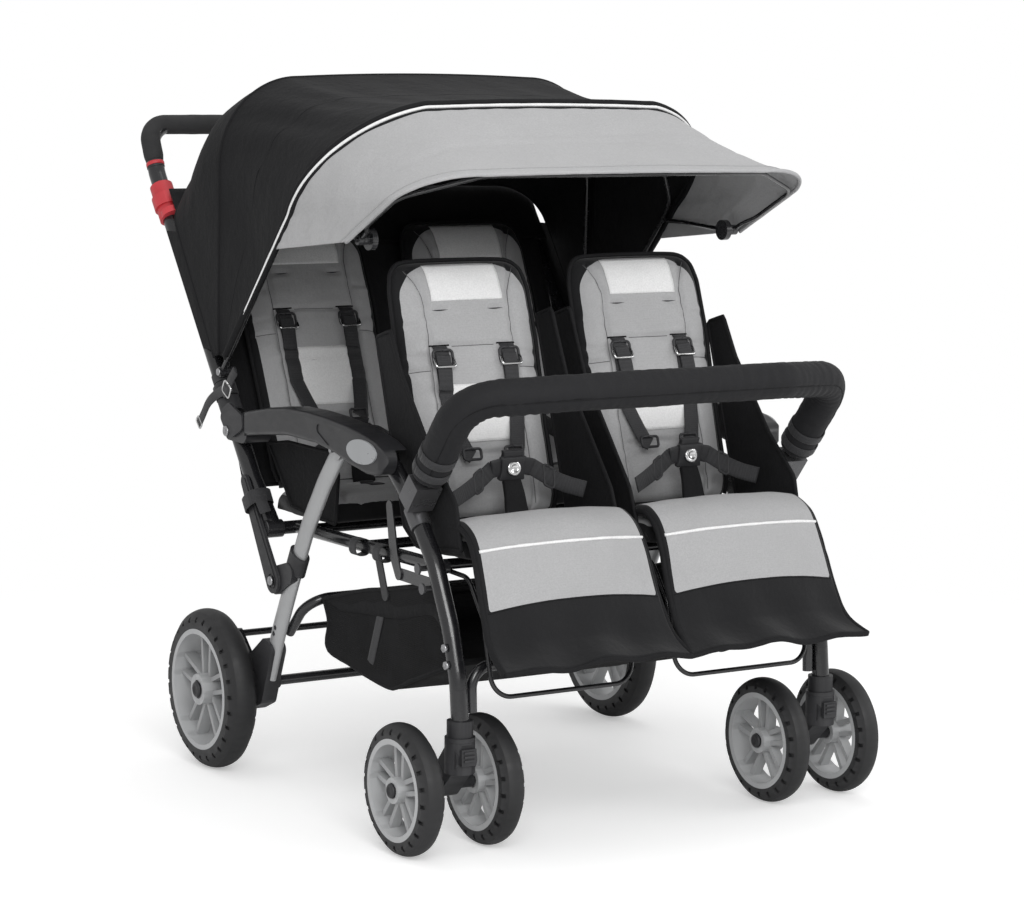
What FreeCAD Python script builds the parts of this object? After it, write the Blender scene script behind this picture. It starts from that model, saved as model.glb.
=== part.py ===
import FreeCAD, Part
import math
import os

os.makedirs("parts", exist_ok=True)
V = FreeCAD.Vector

# Four seat stroller: two seats in front, two behind, one folding frame.
# Millimetres, +Z up, the front of the stroller faces -Y, left is -X.
# Side view places are (y, z), with y counted from the front seats' hip line.

# Wheels
front_wheel_radius = 96.0
front_wheel_width = 38.0
front_rim_radius = 71.0
rear_wheel_radius = 128.0
rear_wheel_width = 50.0
rear_rim_radius = 94.0
front_axle_radius = 5.0
rear_axle_radius = 6.0
axle_clearance = 0.06
tread_notch_depth = 4.0
tread_notch_width = 6.0
front_notch_count = 22
rear_notch_count = 28
rim_wall = 5.0
rim_flange = 3.0
spoke_count = 5
spoke_width = 7.0
spoke_gap_share = 0.34
spoke_depth_share = 0.4
front_hub_radius = 19.0
rear_hub_radius = 25.0
hub_recess_depth = 5.0

# Places of the frame's pivots, in the side view
rear_leg_pivot_y = 60.0
rear_leg_pivot_z = 550.0
front_leg_pivot_y = -52.0
front_leg_pivot_z = 552.0
handle_pivot_y = 404.0
handle_pivot_z = 542.8
rail_rear_y = 283.0
rail_rear_z = 401.0
rail_front_y = -167.0
rail_front_z = 402.0
link_foot_y = 250.0
link_foot_z = 325.0
link_head_y = 345.0
link_head_z = 469.0
plate_pivot_y = -49.0
plate_pivot_z = 404.0
bar_drop = 27.0
bar_rake = 13.0

# Distances of the side members from the middle plane
handle_x = 338.0
rear_leg_x = 338.0
front_leg_x = 320.0
rail_x = 296.0
rear_wheel_x = 381.0
seat_x = 158.0
armrest_inner_x = 310.0
armrest_outer_x = 358.0

# Tubes
handle_tube_radius = 14.0
front_leg_radius = 13.0
rear_leg_depth = 34.0
rear_leg_width = 18.0
rail_radius = 10.0
cross_tube_radius = 8.0
tube_wall = 1.6
slide_clearance = 0.3
pin_radius = 4.0
pin_clearance = 0.06
side_gap = 0.5
cut_overrun = 3.0
bolt_head_radius = 8.0
bolt_head_height = 3.0

# Front casters
stem_y = -262.0
caster_trail = 45.0
twin_spacing = 131.6
collar_top = 198.0
collar_bottom = 168.0
collar_radius = 19.0
stem_radius = 7.0
stem_length = 44.0
fork_housing_radius = 22.0
fork_housing_bottom = 122.0
fork_arm_half_width = 17.0
lock_pad_width = 24.0
lock_pad_height = 24.0
lock_pad_depth = 6.0
lock_travel = 5.0

# Rear axle and brackets
rear_axle_y = 417.5
leg_foot_y = 298.0
leg_foot_z = 165.0
bracket_inner_x = 325.0
bracket_outer_x = 351.0
bracket_bend = 12.0
cross_bar_y = 310.0
cross_bar_z = 153.0
brake_pivot_y = 384.0
brake_pivot_z = 158.0
brake_bar_y = 436.0
brake_bar_z = 208.0
brake_bar_radius = 5.5
brake_arm_thickness = 6.0
brake_arm_radius = 11.0
cross_tube_foot_y = 262.0
cross_tube_foot_z = 238.0
cross_tube_top_y = 200.0
cross_tube_top_z = 300.0
front_tube_foot_z = 206.0
front_tube_y = -256.0
front_tube_z = 270.0

# Push handle
handle_top_y = 737.0
handle_top_z = 1020.0
handle_corner_radius = 48.0
grip_radius = 16.5
grip_length = 66.0
trigger_length = 66.0
trigger_radius = 19.0
trigger_lip = 9.0
trigger_place_share = 0.9

# Armrests, links and sleeves
armrest_nose_y = -106.0
armrest_nose_z = 562.0
armrest_nose_round = 17.0
armrest_rear_y = 382.0
armrest_rear_z = 553.0
armrest_edge_round = 7.0
armrest_bend = 60.0
armrest_panel_depth = 3.0
medallion_half_length = 44.0
medallion_half_height = 18.0
medallion_thickness = 3.0
medallion_y = -44.0
medallion_z = 559.0
ear_radius = 19.0
ear_slot_length = 44.0
link_foot_radius = 20.0
link_head_radius = 11.0
link_thickness = 5.0
sleeve_length = 74.0
sleeve_wall = 4.0
sleeve_lobe_radius = 22.0
sleeve_place_share = 0.58
cover_bend = 8.0
cover_reach = 52.0
ear_lug_thickness = 1.8

# Grab bar
grab_foot_y = -151.0
grab_foot_z = 502.0
grab_top_y = -330.0
grab_top_z = 664.0
grab_corner_x_share = 0.56
grab_tube_radius = 11.0
grab_pad_radius = 28.0
grab_clamp_length = 34.0
grab_clamp_wall = 3.0
grab_socket_half_width = 21.0
grab_socket_half_depth = 16.0
grab_socket_height = 46.0
grab_bow_reach = 6.0

# Seats
seat_back_half_width = 122.0
seat_back_depth = 38.0
seat_back_seam_share = 0.56
front_foot_y = -95.0
front_foot_z = 456.5
front_head_y = 16.0
front_head_z = 836.0
rear_foot_y = 375.0
rear_foot_z = 456.5
rear_head_y = 545.0
rear_head_z = 866.0
sling_thickness = 3.0
curtain_side_room = 11.5
cheek_low_reach = 40.0
cheek_high_reach = 262.0
cheek_front_angle = 55.5
pan_half_width = 140.0
pan_thickness = 46.3
front_pan_front_y = -224.0
front_pan_front_z = 462.0
rear_pan_front_y = 205.0
rear_pan_front_z = 461.5
pan_rear_gap = 1.5
pan_rear_reach = 5.4
flap_top_gap = 4.6
flap_end_y = -378.0
flap_end_z = 282.0
flap_top_half_width = 143.0
flap_end_half_width = 156.0
flap_top_thickness = 18.0
flap_end_thickness = 7.0
wire_radius = 3.5
wire_half_width = 120.0
wire_foot_y = -283.0
wire_foot_z = 228.0
rod_front_y = -150.0
rod_middle_y = 60.0
rod_rear_y = 250.0
rod_radius = 8.0
wing_thickness = 2.4
hanger_top_y = 12.0
hanger_foot_y = -13.0
hanger_foot_z = 338.0
hanger_thickness = 2.4
hanger_radius = 9.0
strap_width = 25.0
strap_thickness = 2.0
strap_spacing = 115.0
buckle_thickness = 5.0
crotch_y = -145.0
crotch_buckle_y = -92.0
crotch_buckle_z = 533.0
crotch_buckle_size = 44.0
waist_reach = 112.0
waist_rise = 36.0

# Basket
basket_half_width = 301.0
basket_floor_inset = 4.0
basket_wall = 2.0
basket_rear_y = 190.5
basket_rear_z = 300.0
basket_front_y = -232.0
basket_front_z = 270.0

# Canopy, its sections are turned about one pivot in front of each handle tube
canopy_pivot_offset = 24.0
canopy_pivot_reach = 95.0
canopy_half_width = 354.0
canopy_wall = 1.7
canopy_leg_start = 27.0
front_bow_angle = 133.7
front_bow_length = 584.0
front_bow_leg = 361.0
front_bow_top_half = 206.0
rear_bow_angle = 91.6
rear_bow_length = 467.0
rear_bow_leg = 330.0
rear_bow_top_half = 215.0
bow_radius = 4.0
clip_wall = 1.5
bow_bend = 110.0
bow_inset = 5.0
bow_side_step = 9.0
front_bow_turn = 0.5
eye_radius = 8.0
eye_thickness = 8.6
canopy_crown = 5.0
canopy_sag = 9.0
canopy_seam_turn = 0.04
side_wire_share = 0.9
side_wire_radius = 3.5
knob_x = 322.0
knob_y = 5.0
knob_z = 865.0
knob_radius = 16.0
knob_thickness = 9.0
visor_angle = 154.0
visor_reach = 232.0
visor_tip = 150.0
visor_top_half = 245.0
visor_side_start = 285.0
visor_wire_radius = 3.0
visor_bend = 40.0

# The whole stroller is moved back so that the origin lies under its middle
middle_y = 186.9

# Side view shares of a run: along it, and across it to the left
front_leg_shares = [(0.202, -0.074), (0.459, -0.118), (0.704, -0.101), (0.879, -0.057)]
rear_leg_shares = [(0.169, 0.03), (0.366, 0.046), (0.588, 0.039), (0.808, 0.025)]
handle_lower_bend_shares = [(0.129, -0.017)]
handle_upper_bend_shares = [(0.887, -0.023)]
armrest_top_shares = [(0.999, 0.037), (0.892, 0.059), (0.763, 0.078), (0.64, 0.088), (0.502, 0.087)]
armrest_top_front_shares = [(0.38, 0.079), (0.257, 0.066), (0.155, 0.05), (0.073, 0.032), (0.014, 0.008)]
armrest_bottom_shares = [(0.0, -0.02), (0.015, -0.055), (0.046, -0.071), (0.116, -0.07),
        (0.204, -0.054), (0.318, -0.025)]
armrest_bottom_rear_shares = [(0.443, -0.006), (0.635, 0.001), (0.812, -0.014), (0.925, -0.026),
        (1.001, -0.033)]
armrest_panel_shares = [(0.478, 0.062), (0.278, 0.048), (0.34, -0.008)]
cover_shares = [(-0.362, 0.234), (-0.197, -0.051), (0.549, -0.118), (0.703, 0.189)]
cover_front_shares = [(0.62, 0.654), (-0.155, 1.179), (-0.513, 0.984)]
bracket_shares = [(-0.4, 0.31), (-0.195, 0.467), (0.343, 0.299), (0.944, 0.167), (1.179, 0.056)]
bracket_lower_shares = [(1.048, -0.169), (0.465, -0.367), (0.13, -0.33), (-0.09, -0.06)]
flap_shares = [(0.0, 0.0), (0.107, -0.051), (0.26, -0.033), (0.587, 0.061), (0.789, 0.084), (1.0, 0.0)]
wire_shares = [(0.195, -0.225), (0.524, -0.22)]
basket_bottom_shares = [(0.0, 0.0), (0.05, 0.084), (0.047, 0.184), (0.229, 0.202), (0.348, 0.212),
        (0.499, 0.215)]
basket_front_shares = [(0.56, 0.202), (0.697, 0.135), (1.0, 0.0), (0.917, -0.108)]
basket_rim_shares = [(0.842, -0.221), (0.729, -0.213), (0.523, -0.155), (0.302, -0.1)]
rear_wing_shares = [(0.16, 0.07), (0.8, 0.07), (0.62, 0.36), (0.104, 0.95), (-0.1, 0.93), (-0.38, 0.62)]
front_wing_shares = [(-0.15, 0.31), (0.02, 0.32), (0.218, 0.2), (0.55, 0.06), (0.72, 0.02)]
front_wing_rear_shares = [(0.72, -0.09), (0.0, -0.078), (-0.09, 0.0)]
middle_wing_shares = [(-0.17, 0.27), (0.04, 0.25), (0.5, 0.06), (0.78, 0.02)]
middle_wing_rear_shares = [(0.78, -0.09), (0.0, -0.078), (-0.09, 0.0)]
pad_shares = [(0.0, 0.9, 0.84), (0.07, 0.97, 0.92), (0.35, 0.97, 0.9), (0.68, 1.0, 0.95)]
pad_head_shares = [(0.88, 0.98, 0.92), (0.95, 0.92, 0.8), (0.985, 0.8, 0.62), (1.0, 0.64, 0.4)]
pan_shares = [(0.0, 0.96, 0.9), (0.2, 1.0, 1.0), (0.7, 0.98, 0.98), (1.0, 0.9, 0.98)]
shoulder_strap_shares = [0.67, 0.6, 0.5, 0.4]
curtain_foot_share = 0.93
curtain_head_shares = (1.19, -0.158)
curtain_back_shares = (1.189, -0.165)
strap_end_share = (0.225, 0.036)
back_panel_shares = [(0.26, 1.0, 0.945, 1.03), (0.48, 0.87, 0.89, 1.06), (0.68, 0.72, 0.84, 1.1),
        (0.93, 0.8, 0.73, 1.3)]

pair = (-1, 1)
front_pair_y = stem_y + caster_trail
handle_pivot = (handle_pivot_y, handle_pivot_z)
rail_rear = (rail_rear_y, rail_rear_z)
rail_front = (rail_front_y, rail_front_z)
rear_leg_pivot = (rear_leg_pivot_y, rear_leg_pivot_z)
front_leg_pivot = (front_leg_pivot_y, front_leg_pivot_z)
link_foot = (link_foot_y, link_foot_z)
link_head = (link_head_y, link_head_z)
leg_foot = (leg_foot_y, leg_foot_z)
collar_head = (stem_y, collar_top)
handle_top = (handle_top_y, handle_top_z)
rear_axle = (rear_axle_y, rear_wheel_radius)


def chord(start, end, shares):
    """Side view points at shares along and across the line from start to end."""
    dy = end[0] - start[0]
    dz = end[1] - start[1]
    return [(start[0] + s * dy - t * dz, start[1] + s * dz + t * dy) for s, t in shares]


def at(x, place):
    return V(x, place[0], place[1])


def unit(vector):
    return vector * (1 / vector.Length)


def bend_fit(before, corner, after, bend):
    """The largest tangent arc at a corner, up to the bend asked for."""
    to_before = unit(before - corner)
    to_after = unit(after - corner)
    half = to_before.getAngle(to_after) / 2
    room = 0.48 * min((before - corner).Length, (after - corner).Length)
    radius = min(bend, room * math.tan(half))
    reach = radius / math.tan(half)
    middle_line = unit(to_before + to_after)
    inner = radius / math.sin(half) - radius
    return corner + to_before * reach, corner + middle_line * inner, corner + to_after * reach


def path(points, bend):
    """An open wire of straight runs joined by tangent arcs."""
    edges = []
    last = points[0]
    for before, corner, after in zip(points, points[1:], points[2:]):
        first, middle, second = bend_fit(before, corner, after, bend)
        edges.append(Part.LineSegment(last, first).toShape())
        edges.append(Part.Arc(first, middle, second).toShape())
        last = second
    edges.append(Part.LineSegment(last, points[-1]).toShape())
    return Part.Wire(edges)


def outline(points, bend):
    """A closed wire of straight runs joined by tangent arcs."""
    count = len(points)
    fits = []
    for n in range(count):
        fits.append(bend_fit(points[n - 1], points[n], points[(n + 1) % count], bend))
    edges = []
    for n in range(count):
        first, middle, second = fits[n]
        edges.append(Part.Arc(first, middle, second).toShape())
        edges.append(Part.LineSegment(second, fits[(n + 1) % count][0]).toShape())
    return Part.Wire(edges)


def swept(points, bend, profile):
    return path(points, bend).makePipeShell([profile], True, False)


def bar(points, bend, radius):
    """A round bar along a bent path."""
    ring = Part.Wire(Part.Circle(points[0], points[1] - points[0], radius).toShape())
    return swept(points, bend, ring)


def tube(points, bend, radius, wall=tube_wall):
    """A round tube along a bent path, open at both ends."""
    return bar(points, bend, radius).cut(bar(points, bend, radius - wall))


def plate(places, bend, x_low, x_high):
    """A side view outline given thickness along X."""
    wire = outline([at(x_low, p) for p in places], bend)
    return Part.Face(wire).extrude(V(x_high - x_low, 0, 0))


def rod_x(radius, x_low, x_high, place):
    """A cylinder along X."""
    return Part.makeCylinder(radius, x_high - x_low, at(x_low, place), V(1, 0, 0))


def strip(first, first_radius, second, second_radius, x_low, x_high):
    """A flat bar with two round ends of their own sizes."""
    dy = second[0] - first[0]
    dz = second[1] - first[1]
    length = math.hypot(dy, dz)
    tilt = math.acos((first_radius - second_radius) / length)
    heading = math.atan2(dz, dy)

    def rim(centre, radius, angle):
        return V(x_low, centre[0] + radius * math.cos(angle), centre[1] + radius * math.sin(angle))

    a = rim(first, first_radius, heading + tilt)
    b = rim(first, first_radius, heading + math.pi)
    c = rim(first, first_radius, heading - tilt)
    d = rim(second, second_radius, heading - tilt)
    e = rim(second, second_radius, heading)
    f = rim(second, second_radius, heading + tilt)
    edges = [Part.Arc(a, b, c).toShape(), Part.LineSegment(c, d).toShape()]
    edges += [Part.Arc(d, e, f).toShape(), Part.LineSegment(f, a).toShape()]
    return Part.Face(Part.Wire(edges)).extrude(V(x_high - x_low, 0, 0))


def mirrored(shape):
    return shape.mirror(V(0, 0, 0), V(1, 0, 0))


def both(shape):
    """A right hand piece with its left hand twin."""
    return [mirrored(shape), shape]


def solids_of(shapes):
    found = []
    for shape in shapes:
        found += shape.Solids
    return found


def save(name, shapes):
    """Writes one node, moved so that the origin lies under the middle."""
    group = Part.makeCompound(solids_of(shapes))
    group.translate(V(0, -middle_y, 0))
    group.exportStep("parts/" + name + ".step")


def tyre(radius, rim, width, notches):
    """A rubber ring with rounded shoulders and notched edges, about X at the origin."""
    half = width / 2
    tread = 0.62 * half
    crown = 0.035 * radius
    side = radius - 0.13 * radius
    seat = rim + rim_flange
    points = [V(-half, 0, side), V(-tread, 0, radius - crown), V(0, 0, radius)]
    points += [V(tread, 0, radius - crown), V(half, 0, side)]
    edges = [Part.LineSegment(V(-half, 0, seat), points[0]).toShape()]
    edges.append(Part.LineSegment(points[0], points[1]).toShape())
    edges.append(Part.Arc(points[1], points[2], points[3]).toShape())
    edges.append(Part.LineSegment(points[3], points[4]).toShape())
    edges.append(Part.LineSegment(points[4], V(half, 0, seat)).toShape())
    edges.append(Part.LineSegment(V(half, 0, seat), V(-half, 0, seat)).toShape())
    ring = Part.Face(Part.Wire(edges)).revolve(V(0, 0, 0), V(1, 0, 0), 360)
    cutters = []
    for n in range(notches):
        for side_sign in pair:
            low = half - tread_notch_depth if side_sign > 0 else -half - cut_overrun
            cutter = Part.makeBox(
                tread_notch_depth + cut_overrun,
                tread_notch_width,
                tread_notch_depth + radius - side,
                V(low, -tread_notch_width / 2, side - tread_notch_depth),
            )
            turn = 360 / notches * (n + 0.25 * side_sign)
            cutter.rotate(V(0, 0, 0), V(1, 0, 0), turn)
            cutters.append(cutter)
    return ring.cut(Part.makeCompound(cutters))


def rim(radius, width, hub, bore):
    """A moulded wheel centre with twin spokes, about X at the origin."""
    half = width / 2
    ring = Part.makeCylinder(radius + rim_flange, width, V(-half, 0, 0), V(1, 0, 0))
    ring = ring.cut(
        Part.makeCylinder(radius - rim_wall, width + 2 * cut_overrun, V(-half - cut_overrun, 0, 0),
                V(1, 0, 0))
    )
    body = ring.fuse(Part.makeCylinder(hub, width, V(-half, 0, 0), V(1, 0, 0)))
    depth = spoke_depth_share * width
    reach = radius - rim_wall / 2
    spread = spoke_gap_share * radius
    spokes = []
    for n in range(spoke_count):
        for side_sign in pair:
            root = side_sign * hub * 0.35
            tip = side_sign * spread / 2
            corners = [V(-depth / 2, root - spoke_width / 2, 0), V(-depth / 2, root + spoke_width / 2, 0)]
            corners += [V(-depth / 2, tip + spoke_width / 2, reach),
                    V(-depth / 2, tip - spoke_width / 2, reach)]
            spoke = Part.Face(Part.makePolygon(corners + corners[:1])).extrude(V(depth, 0, 0))
            spoke.rotate(V(0, 0, 0), V(1, 0, 0), 360 / spoke_count * n)
            spokes.append(spoke)
    body = body.multiFuse(spokes)
    for side_sign in pair:
        low = half - hub_recess_depth if side_sign > 0 else -half - cut_overrun
        recess = Part.makeCylinder(hub * 0.6, hub_recess_depth + cut_overrun, V(low, 0, 0), V(1, 0, 0))
        body = body.cut(recess)
    hole = Part.makeCylinder(bore, width + 2 * cut_overrun, V(-half - cut_overrun, 0, 0), V(1, 0, 0))
    return body.cut(hole)


def placed(shape, x, place):
    copy = shape.copy()
    copy.translate(at(x, place))
    return copy


def make_wheels():
    front_tyre = tyre(front_wheel_radius, front_rim_radius, front_wheel_width, front_notch_count)
    front_bore = front_axle_radius + axle_clearance
    front_rim = rim(front_rim_radius, front_wheel_width, front_hub_radius, front_bore)
    front_place = (front_pair_y, front_wheel_radius)
    for side_name, side in (("left", -1), ("right", 1)):
        for pair_name, offset in (("outer", 1), ("inner", -1)):
            x = side * (stem_x + offset * twin_spacing / 2)
            name = side_name + "_" + pair_name
            save("front_tyre_" + name, [placed(front_tyre, x, front_place)])
            save("front_rim_" + name, [placed(front_rim, x, front_place)])
    rear_tyre = tyre(rear_wheel_radius, rear_rim_radius, rear_wheel_width, rear_notch_count)
    rear_rim = rim(rear_rim_radius, rear_wheel_width, rear_hub_radius, rear_axle_radius + axle_clearance)
    for side_name, side in (("left", -1), ("right", 1)):
        save("rear_tyre_" + side_name, [placed(rear_tyre, side * rear_wheel_x, rear_axle)])
        save("rear_rim_" + side_name, [placed(rear_rim, side * rear_wheel_x, rear_axle)])


stem_x = front_leg_x


def make_caster_forks():
    """A fork turns on the collar's stem and carries two wheels on one axle."""
    stem = (stem_y, 0)
    axle = (front_pair_y, front_wheel_radius)
    top = collar_bottom - slide_clearance
    bottom = fork_housing_bottom
    housing = Part.makeCylinder(fork_housing_radius, top - bottom, V(stem_x, stem_y, bottom))
    lower = strip(axle, 0.8 * fork_housing_radius, (stem_y, bottom + fork_housing_radius),
            0.9 * fork_housing_radius,
                  stem_x - fork_arm_half_width, stem_x + fork_arm_half_width)
    body = housing.fuse(lower)
    spacer = twin_spacing / 2 - front_wheel_width / 2 - slide_clearance
    body = body.fuse(rod_x(1.9 * front_axle_radius, stem_x - spacer, stem_x + spacer, axle))
    flat_y = stem_y - fork_housing_radius + lock_pad_depth / 3
    flat = Part.makeBox(
        lock_pad_width + 2 * slide_clearance,
        fork_housing_radius,
        lock_pad_height + lock_travel + 2 * slide_clearance,
        V(
            stem_x - lock_pad_width / 2 - slide_clearance,
            flat_y - fork_housing_radius,
            top - lock_pad_height - lock_travel - cut_overrun,
        ),
    )
    body = body.cut(flat)
    stem_hole = Part.makeCylinder(
        stem_radius + pin_clearance, stem_length + cut_overrun, V(stem_x, stem_y, top - stem_length)
    )
    body = body.cut(stem_hole)
    axle_length = spacer + front_wheel_width + bolt_head_height
    axle_pin = rod_x(front_axle_radius, stem_x - axle_length, stem_x + axle_length, axle)
    body = body.cut(rod_x(front_axle_radius + pin_clearance, stem_x - spacer - cut_overrun,
                          stem_x + spacer + cut_overrun, axle))
    pad_low = top - lock_pad_height - lock_travel - cut_overrun + slide_clearance
    pad = Part.makeBox(
        lock_pad_width,
        lock_pad_depth,
        lock_pad_height,
        V(stem_x - lock_pad_width / 2, flat_y - slide_clearance - lock_pad_depth, pad_low),
    )
    rib = Part.makeBox(
        lock_pad_width * 0.7, lock_pad_depth / 3, lock_pad_height / 8,
        V(stem_x - lock_pad_width * 0.35, flat_y - slide_clearance - lock_pad_depth * 4 / 3, pad_low)
    )
    ribs = []
    for n in range(1, 4):
        copy = rib.copy()
        copy.translate(V(0, 0, n * lock_pad_height / 4))
        ribs.append(copy)
    pad = pad.multiFuse(ribs)
    caps = []
    for side in pair:
        face = stem_x + side * (spacer + front_wheel_width + slide_clearance)
        low = min(face, face + side * bolt_head_height)
        caps.append(rod_x(1.6 * front_axle_radius, low, low + bolt_head_height, axle))
    axle_pin = axle_pin.multiFuse(caps)
    for side_name, side in (("left", -1), ("right", 1)):
        hand = (lambda s: s) if side > 0 else mirrored
        save("caster_fork_" + side_name, [hand(body), hand(axle_pin)])
        save("swivel_lock_" + side_name, [hand(pad)])


def make_front_frame():
    """Front legs, their collars, the tube between them and their bolts."""
    places = [front_leg_pivot] + chord(front_leg_pivot, collar_head, front_leg_shares)
    places += [collar_head, (stem_y, collar_top - cut_overrun)]
    leg_points = [at(front_leg_x, p) for p in places]
    leg = tube(leg_points, 10 * front_leg_radius, front_leg_radius)
    leg_bar = bar(leg_points, 10 * front_leg_radius, front_leg_radius)
    eye = front_leg_radius - tube_wall / 2
    leg = leg.fuse(rod_x(eye, front_leg_x - eye, front_leg_x + eye, front_leg_pivot))
    leg = leg.cut(rod_x(pin_radius + pin_clearance, armrest_inner_x - 2 * front_leg_radius,
            armrest_outer_x,
                        front_leg_pivot))
    collar = Part.makeCylinder(collar_radius, collar_top - collar_bottom,
            V(stem_x, stem_y, collar_bottom))
    collar = collar.fuse(
        Part.makeCylinder(fork_housing_radius, collar_radius / 3, V(stem_x, stem_y, collar_bottom))
    )
    stem = Part.makeCylinder(stem_radius, stem_length,
            V(stem_x, stem_y, collar_bottom - stem_length + cut_overrun))
    collar = collar.fuse(stem).cut(leg_bar)
    inner = front_leg_x - front_leg_radius
    tube_x = inner - cross_tube_radius - side_gap
    foot = (stem_y + cross_tube_radius / 2, front_tube_foot_z)
    cross = [at(-tube_x, foot), at(-tube_x, (front_tube_y, front_tube_z))]
    cross += [at(tube_x, (front_tube_y, front_tube_z)), at(tube_x, foot)]
    cross_tube = tube(cross, 4 * cross_tube_radius, cross_tube_radius)

    fasteners = []
    bolt_places = [rail_front, (rail_front_y - bar_rake, rail_front_z - bar_drop)]
    low = rail_x - rail_radius - bolt_head_height
    for place in bolt_places:
        high = front_leg_x + front_leg_radius + side_gap
        start = low if place is rail_front else inner - side_gap - 3 * hanger_thickness
        bolt = rod_x(pin_radius, start, high, place)
        bolt = bolt.fuse(rod_x(bolt_head_radius, high, high + bolt_head_height, place))
        fasteners.append(bolt)
    rivet_z = front_tube_foot_z + 2 * cross_tube_radius
    rise = 2 * cross_tube_radius / (front_tube_z - front_tube_foot_z)
    rivet_y = foot[0] + (front_tube_y - foot[0]) * rise
    rivet = rod_x(pin_radius / 2, tube_x - cross_tube_radius, front_leg_x, (rivet_y, rivet_z))
    fasteners.append(rivet)

    grab_socket, grab_ring = make_grab_clamp(places)
    grab_socket = grab_socket.cut(leg_bar)
    fasteners.append(grab_ring)
    leg_cut = Part.makeCompound(fasteners[:3])
    save("front_legs", both(leg.cut(leg_cut)))
    save("caster_collars", both(collar))
    save("front_cross_tube", [cross_tube.cut(Part.makeCompound([rivet, mirrored(rivet)]))])
    save("front_clamps_and_bolts", sum([both(f) for f in fasteners], []) + both(grab_socket))


def make_grab_clamp(leg_places):
    """A ring round the leg and the socket that takes the end of the grab bar."""
    low_place = leg_places[1]
    middle_place = chord(leg_places[1], leg_places[2], [(0.3, 0.0)])[0]
    run = V(0, leg_places[2][0] - low_place[0], leg_places[2][1] - low_place[1])
    lean = unit(run)
    centre = at(front_leg_x, middle_place)
    base = centre - lean * (grab_clamp_length / 2)
    outer = Part.makeCylinder(front_leg_radius + grab_clamp_wall, grab_clamp_length, base, lean)
    hole = Part.makeCylinder(
        front_leg_radius + slide_clearance, grab_clamp_length + 2 * cut_overrun,
        base - lean * cut_overrun, lean
    )
    ring = outer.cut(hole)
    rise = unit(V(0, grab_bend()[0] - grab_foot_y, grab_bend()[1] - grab_foot_z))
    across = V(0, -rise.z, rise.y)
    foot = V(grab_x(), grab_foot_y, grab_foot_z)
    corner = foot - V(grab_socket_half_width, 0, 0) - across * grab_socket_half_depth
    corner = corner - rise * (grab_socket_height / 4)
    socket = Part.makeBox(2 * grab_socket_half_width, 2 * grab_socket_half_depth, grab_socket_height)
    turn = FreeCAD.Matrix(
        1, 0, 0, corner.x, 0, across.y, rise.y, corner.y, 0, across.z, rise.z, corner.z, 0, 0, 0, 1
    )
    socket = socket.transformGeometry(turn)
    bore = Part.makeCylinder(grab_tube_radius + slide_clearance, 2 * grab_socket_height, foot, rise)
    socket = socket.cut(bore).cut(outer)
    return socket, ring


def grab_x():
    return front_leg_x + grab_tube_radius / 2


def grab_bend():
    return chord((grab_foot_y, grab_foot_z), (grab_top_y, grab_top_z), [(0.815, -0.117)])[0]


def grab_points(from_share):
    """The grab bar's line, from a share of its first run on each side."""
    bend_place = grab_bend()
    start = chord((grab_foot_y, grab_foot_z), bend_place, [(from_share, 0.0)])[0]
    top = (grab_top_y - grab_bow_reach, grab_top_z)
    x = grab_x()
    shoulder = grab_corner_x_share * x
    points = [at(x, start), at(x, bend_place), at(shoulder, top)]
    return points + [V(-p.x, p.y, p.z) for p in reversed(points)]


def make_grab_bar():
    inner = tube(grab_points(0.0), 6 * grab_tube_radius, grab_tube_radius)
    pad_start = 0.22
    pad = bar(grab_points(pad_start), 6 * grab_tube_radius, grab_pad_radius)
    pad = pad.cut(bar(grab_points(0.0), 6 * grab_tube_radius, grab_tube_radius + slide_clearance))
    save("grab_bar", [inner])
    save("grab_bar_pad", [pad])


def oval(centre, tangent, width, depth):
    """An oval across a tangent, its short axis along X."""
    away = unit(tangent.cross(V(1, 0, 0)))
    ellipse = Part.Ellipse(centre + away * (depth / 2), centre + V(width / 2, 0, 0), centre)
    return Part.Wire(ellipse.toShape())


def rear_leg_solid(width, depth):
    places = [rear_leg_pivot] + chord(rear_leg_pivot, leg_foot, rear_leg_shares) + [leg_foot]
    points = [at(rear_leg_x, p) for p in places]
    return swept(points, 8 * rear_leg_depth, oval(points[0], points[1] - points[0], width, depth))


def leg_place(share):
    """A place on the rear leg, counted over its five runs."""
    places = [rear_leg_pivot] + chord(rear_leg_pivot, leg_foot, rear_leg_shares) + [leg_foot]
    run = min(int(share * 5), 4)
    return chord(places[run], places[run + 1], [(share * 5 - run, 0.0)])[0]


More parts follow.
